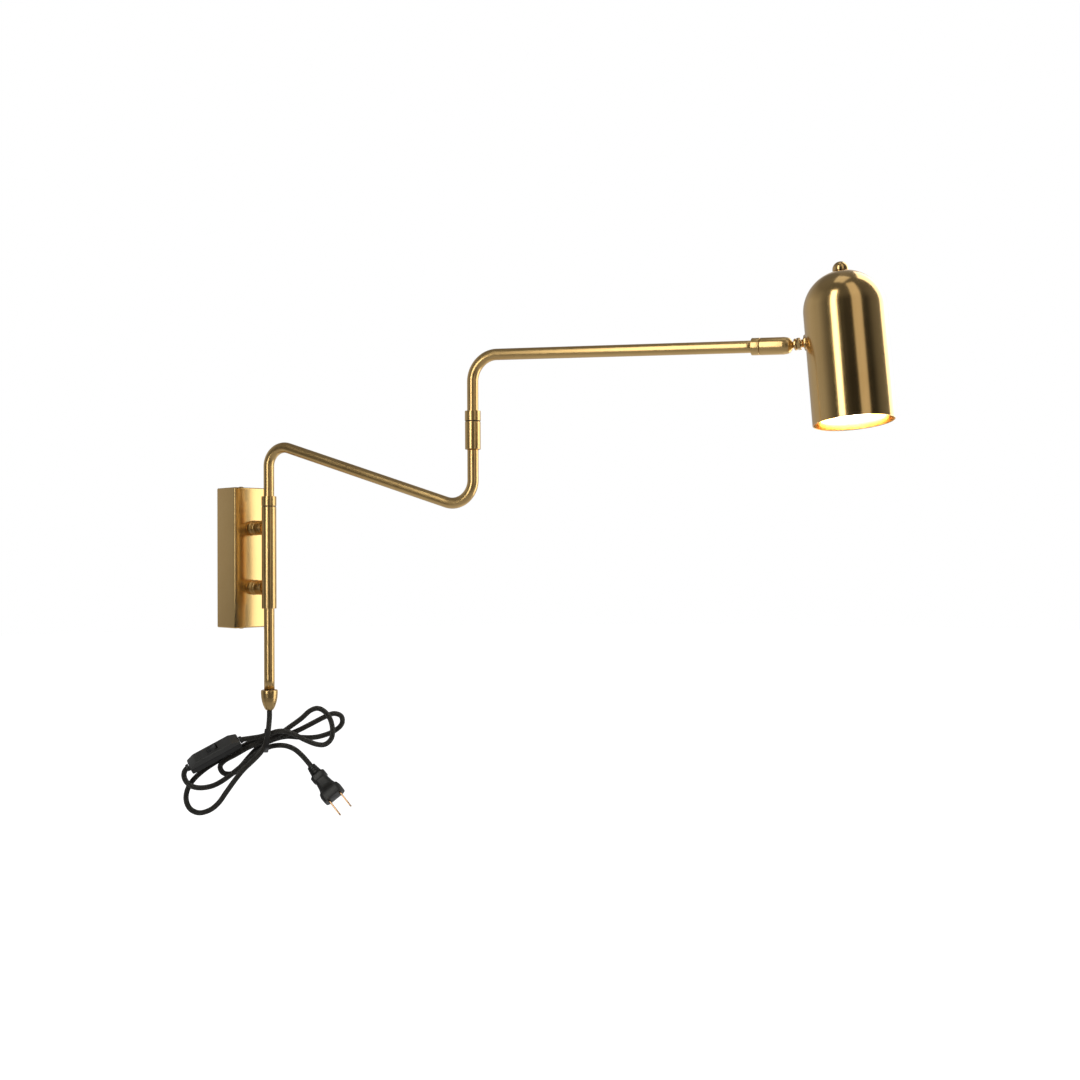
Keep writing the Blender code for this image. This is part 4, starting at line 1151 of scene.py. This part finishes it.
def makeWorld():
    world = bpy.data.worlds.new("studio")
    scene.world = world
    world.use_nodes = True
    graph = Graph(world)
    back = graph.nodes["Background"]
    x, y, z = graph.parts(graph.node("ShaderNodeTexCoord", {}, {}, "Generated"))
    # share of a turn, from behind the lamp by way of the left, the room and the right
    yaw = math.radians(camera["yaw"])
    ahead = x * -math.sin(yaw) + y * -math.cos(yaw)
    right = x * math.cos(yaw) + y * -math.sin(yaw)
    angle = graph.node("ShaderNodeMath", {"operation": "ARCTAN2"}, {0: right, 1: ahead}) / math.tau + 0.5
    level = graph.node("ShaderNodeValToRGB", {"stops": (
        (0.0, 0.36), (0.14, 0.44), (0.24, 0.34), (0.29, 0.16), (0.33, 0.04), (0.50, 0.014), (0.65, 0.02),
        (0.70, 0.12), (0.80, 0.20), (0.88, 0.45), (0.97, 1.0), (1.0, 0.6),
    )}, {0: angle})
    high = graph.node("ShaderNodeValToRGB", {"stops": (
        (0.0, 0.35), (0.42, 0.8), (0.50, 1.0), (0.68, 1.0), (0.86, 0.18), (1.0, 0.10),
    )}, {0: z * 0.5 + 0.5})
    bounce = graph.node("ShaderNodeValToRGB", {"stops": (  # from the floor and the ceiling
        (0.0, 0.36), (0.22, 0.30), (0.36, 0.015), (0.66, 0.006), (0.82, 0.09), (1.0, 0.12),
    )}, {0: z * 0.5 + 0.5})
    env = level * high + bounce
    path = graph.node("ShaderNodeLightPath", {}, {}, "Is Camera Ray")
    graph.feed(back.inputs["Color"], graph.mix(path, env, (1.0, 1.0, 1.0, 1.0)))
    graph.feed(back.inputs["Strength"], stage["ambient"])


def makeFloor():
    bm = bmesh.new()
    middle = at(0.1, -0.3, stage["floorHeight"])
    bmesh.ops.create_circle(bm, cap_ends=True, segments=96, radius=6.0, matrix=middle)
    floor = asObject("floor", bm)
    paint, graph, shader = newMaterial("floor_paint", **{
        "Roughness": 0.8, "Emission Color": (1, 1, 1, 1), "Emission Strength": 0.9,
    })
    cloud = graph.noise(graph.objectPlace(), 3.0)
    graph.feed(shader["Base Color"], graph.mix(cloud, (0.9, 0.9, 0.9, 1), (0.94, 0.94, 0.94, 1)))
    floor.data.materials.append(paint)
    floor.visible_glossy = False
    floor.visible_diffuse = False


makeLights()
makeWorld()
makeFloor()
print("stage")

bpy.context.view_layer.update()
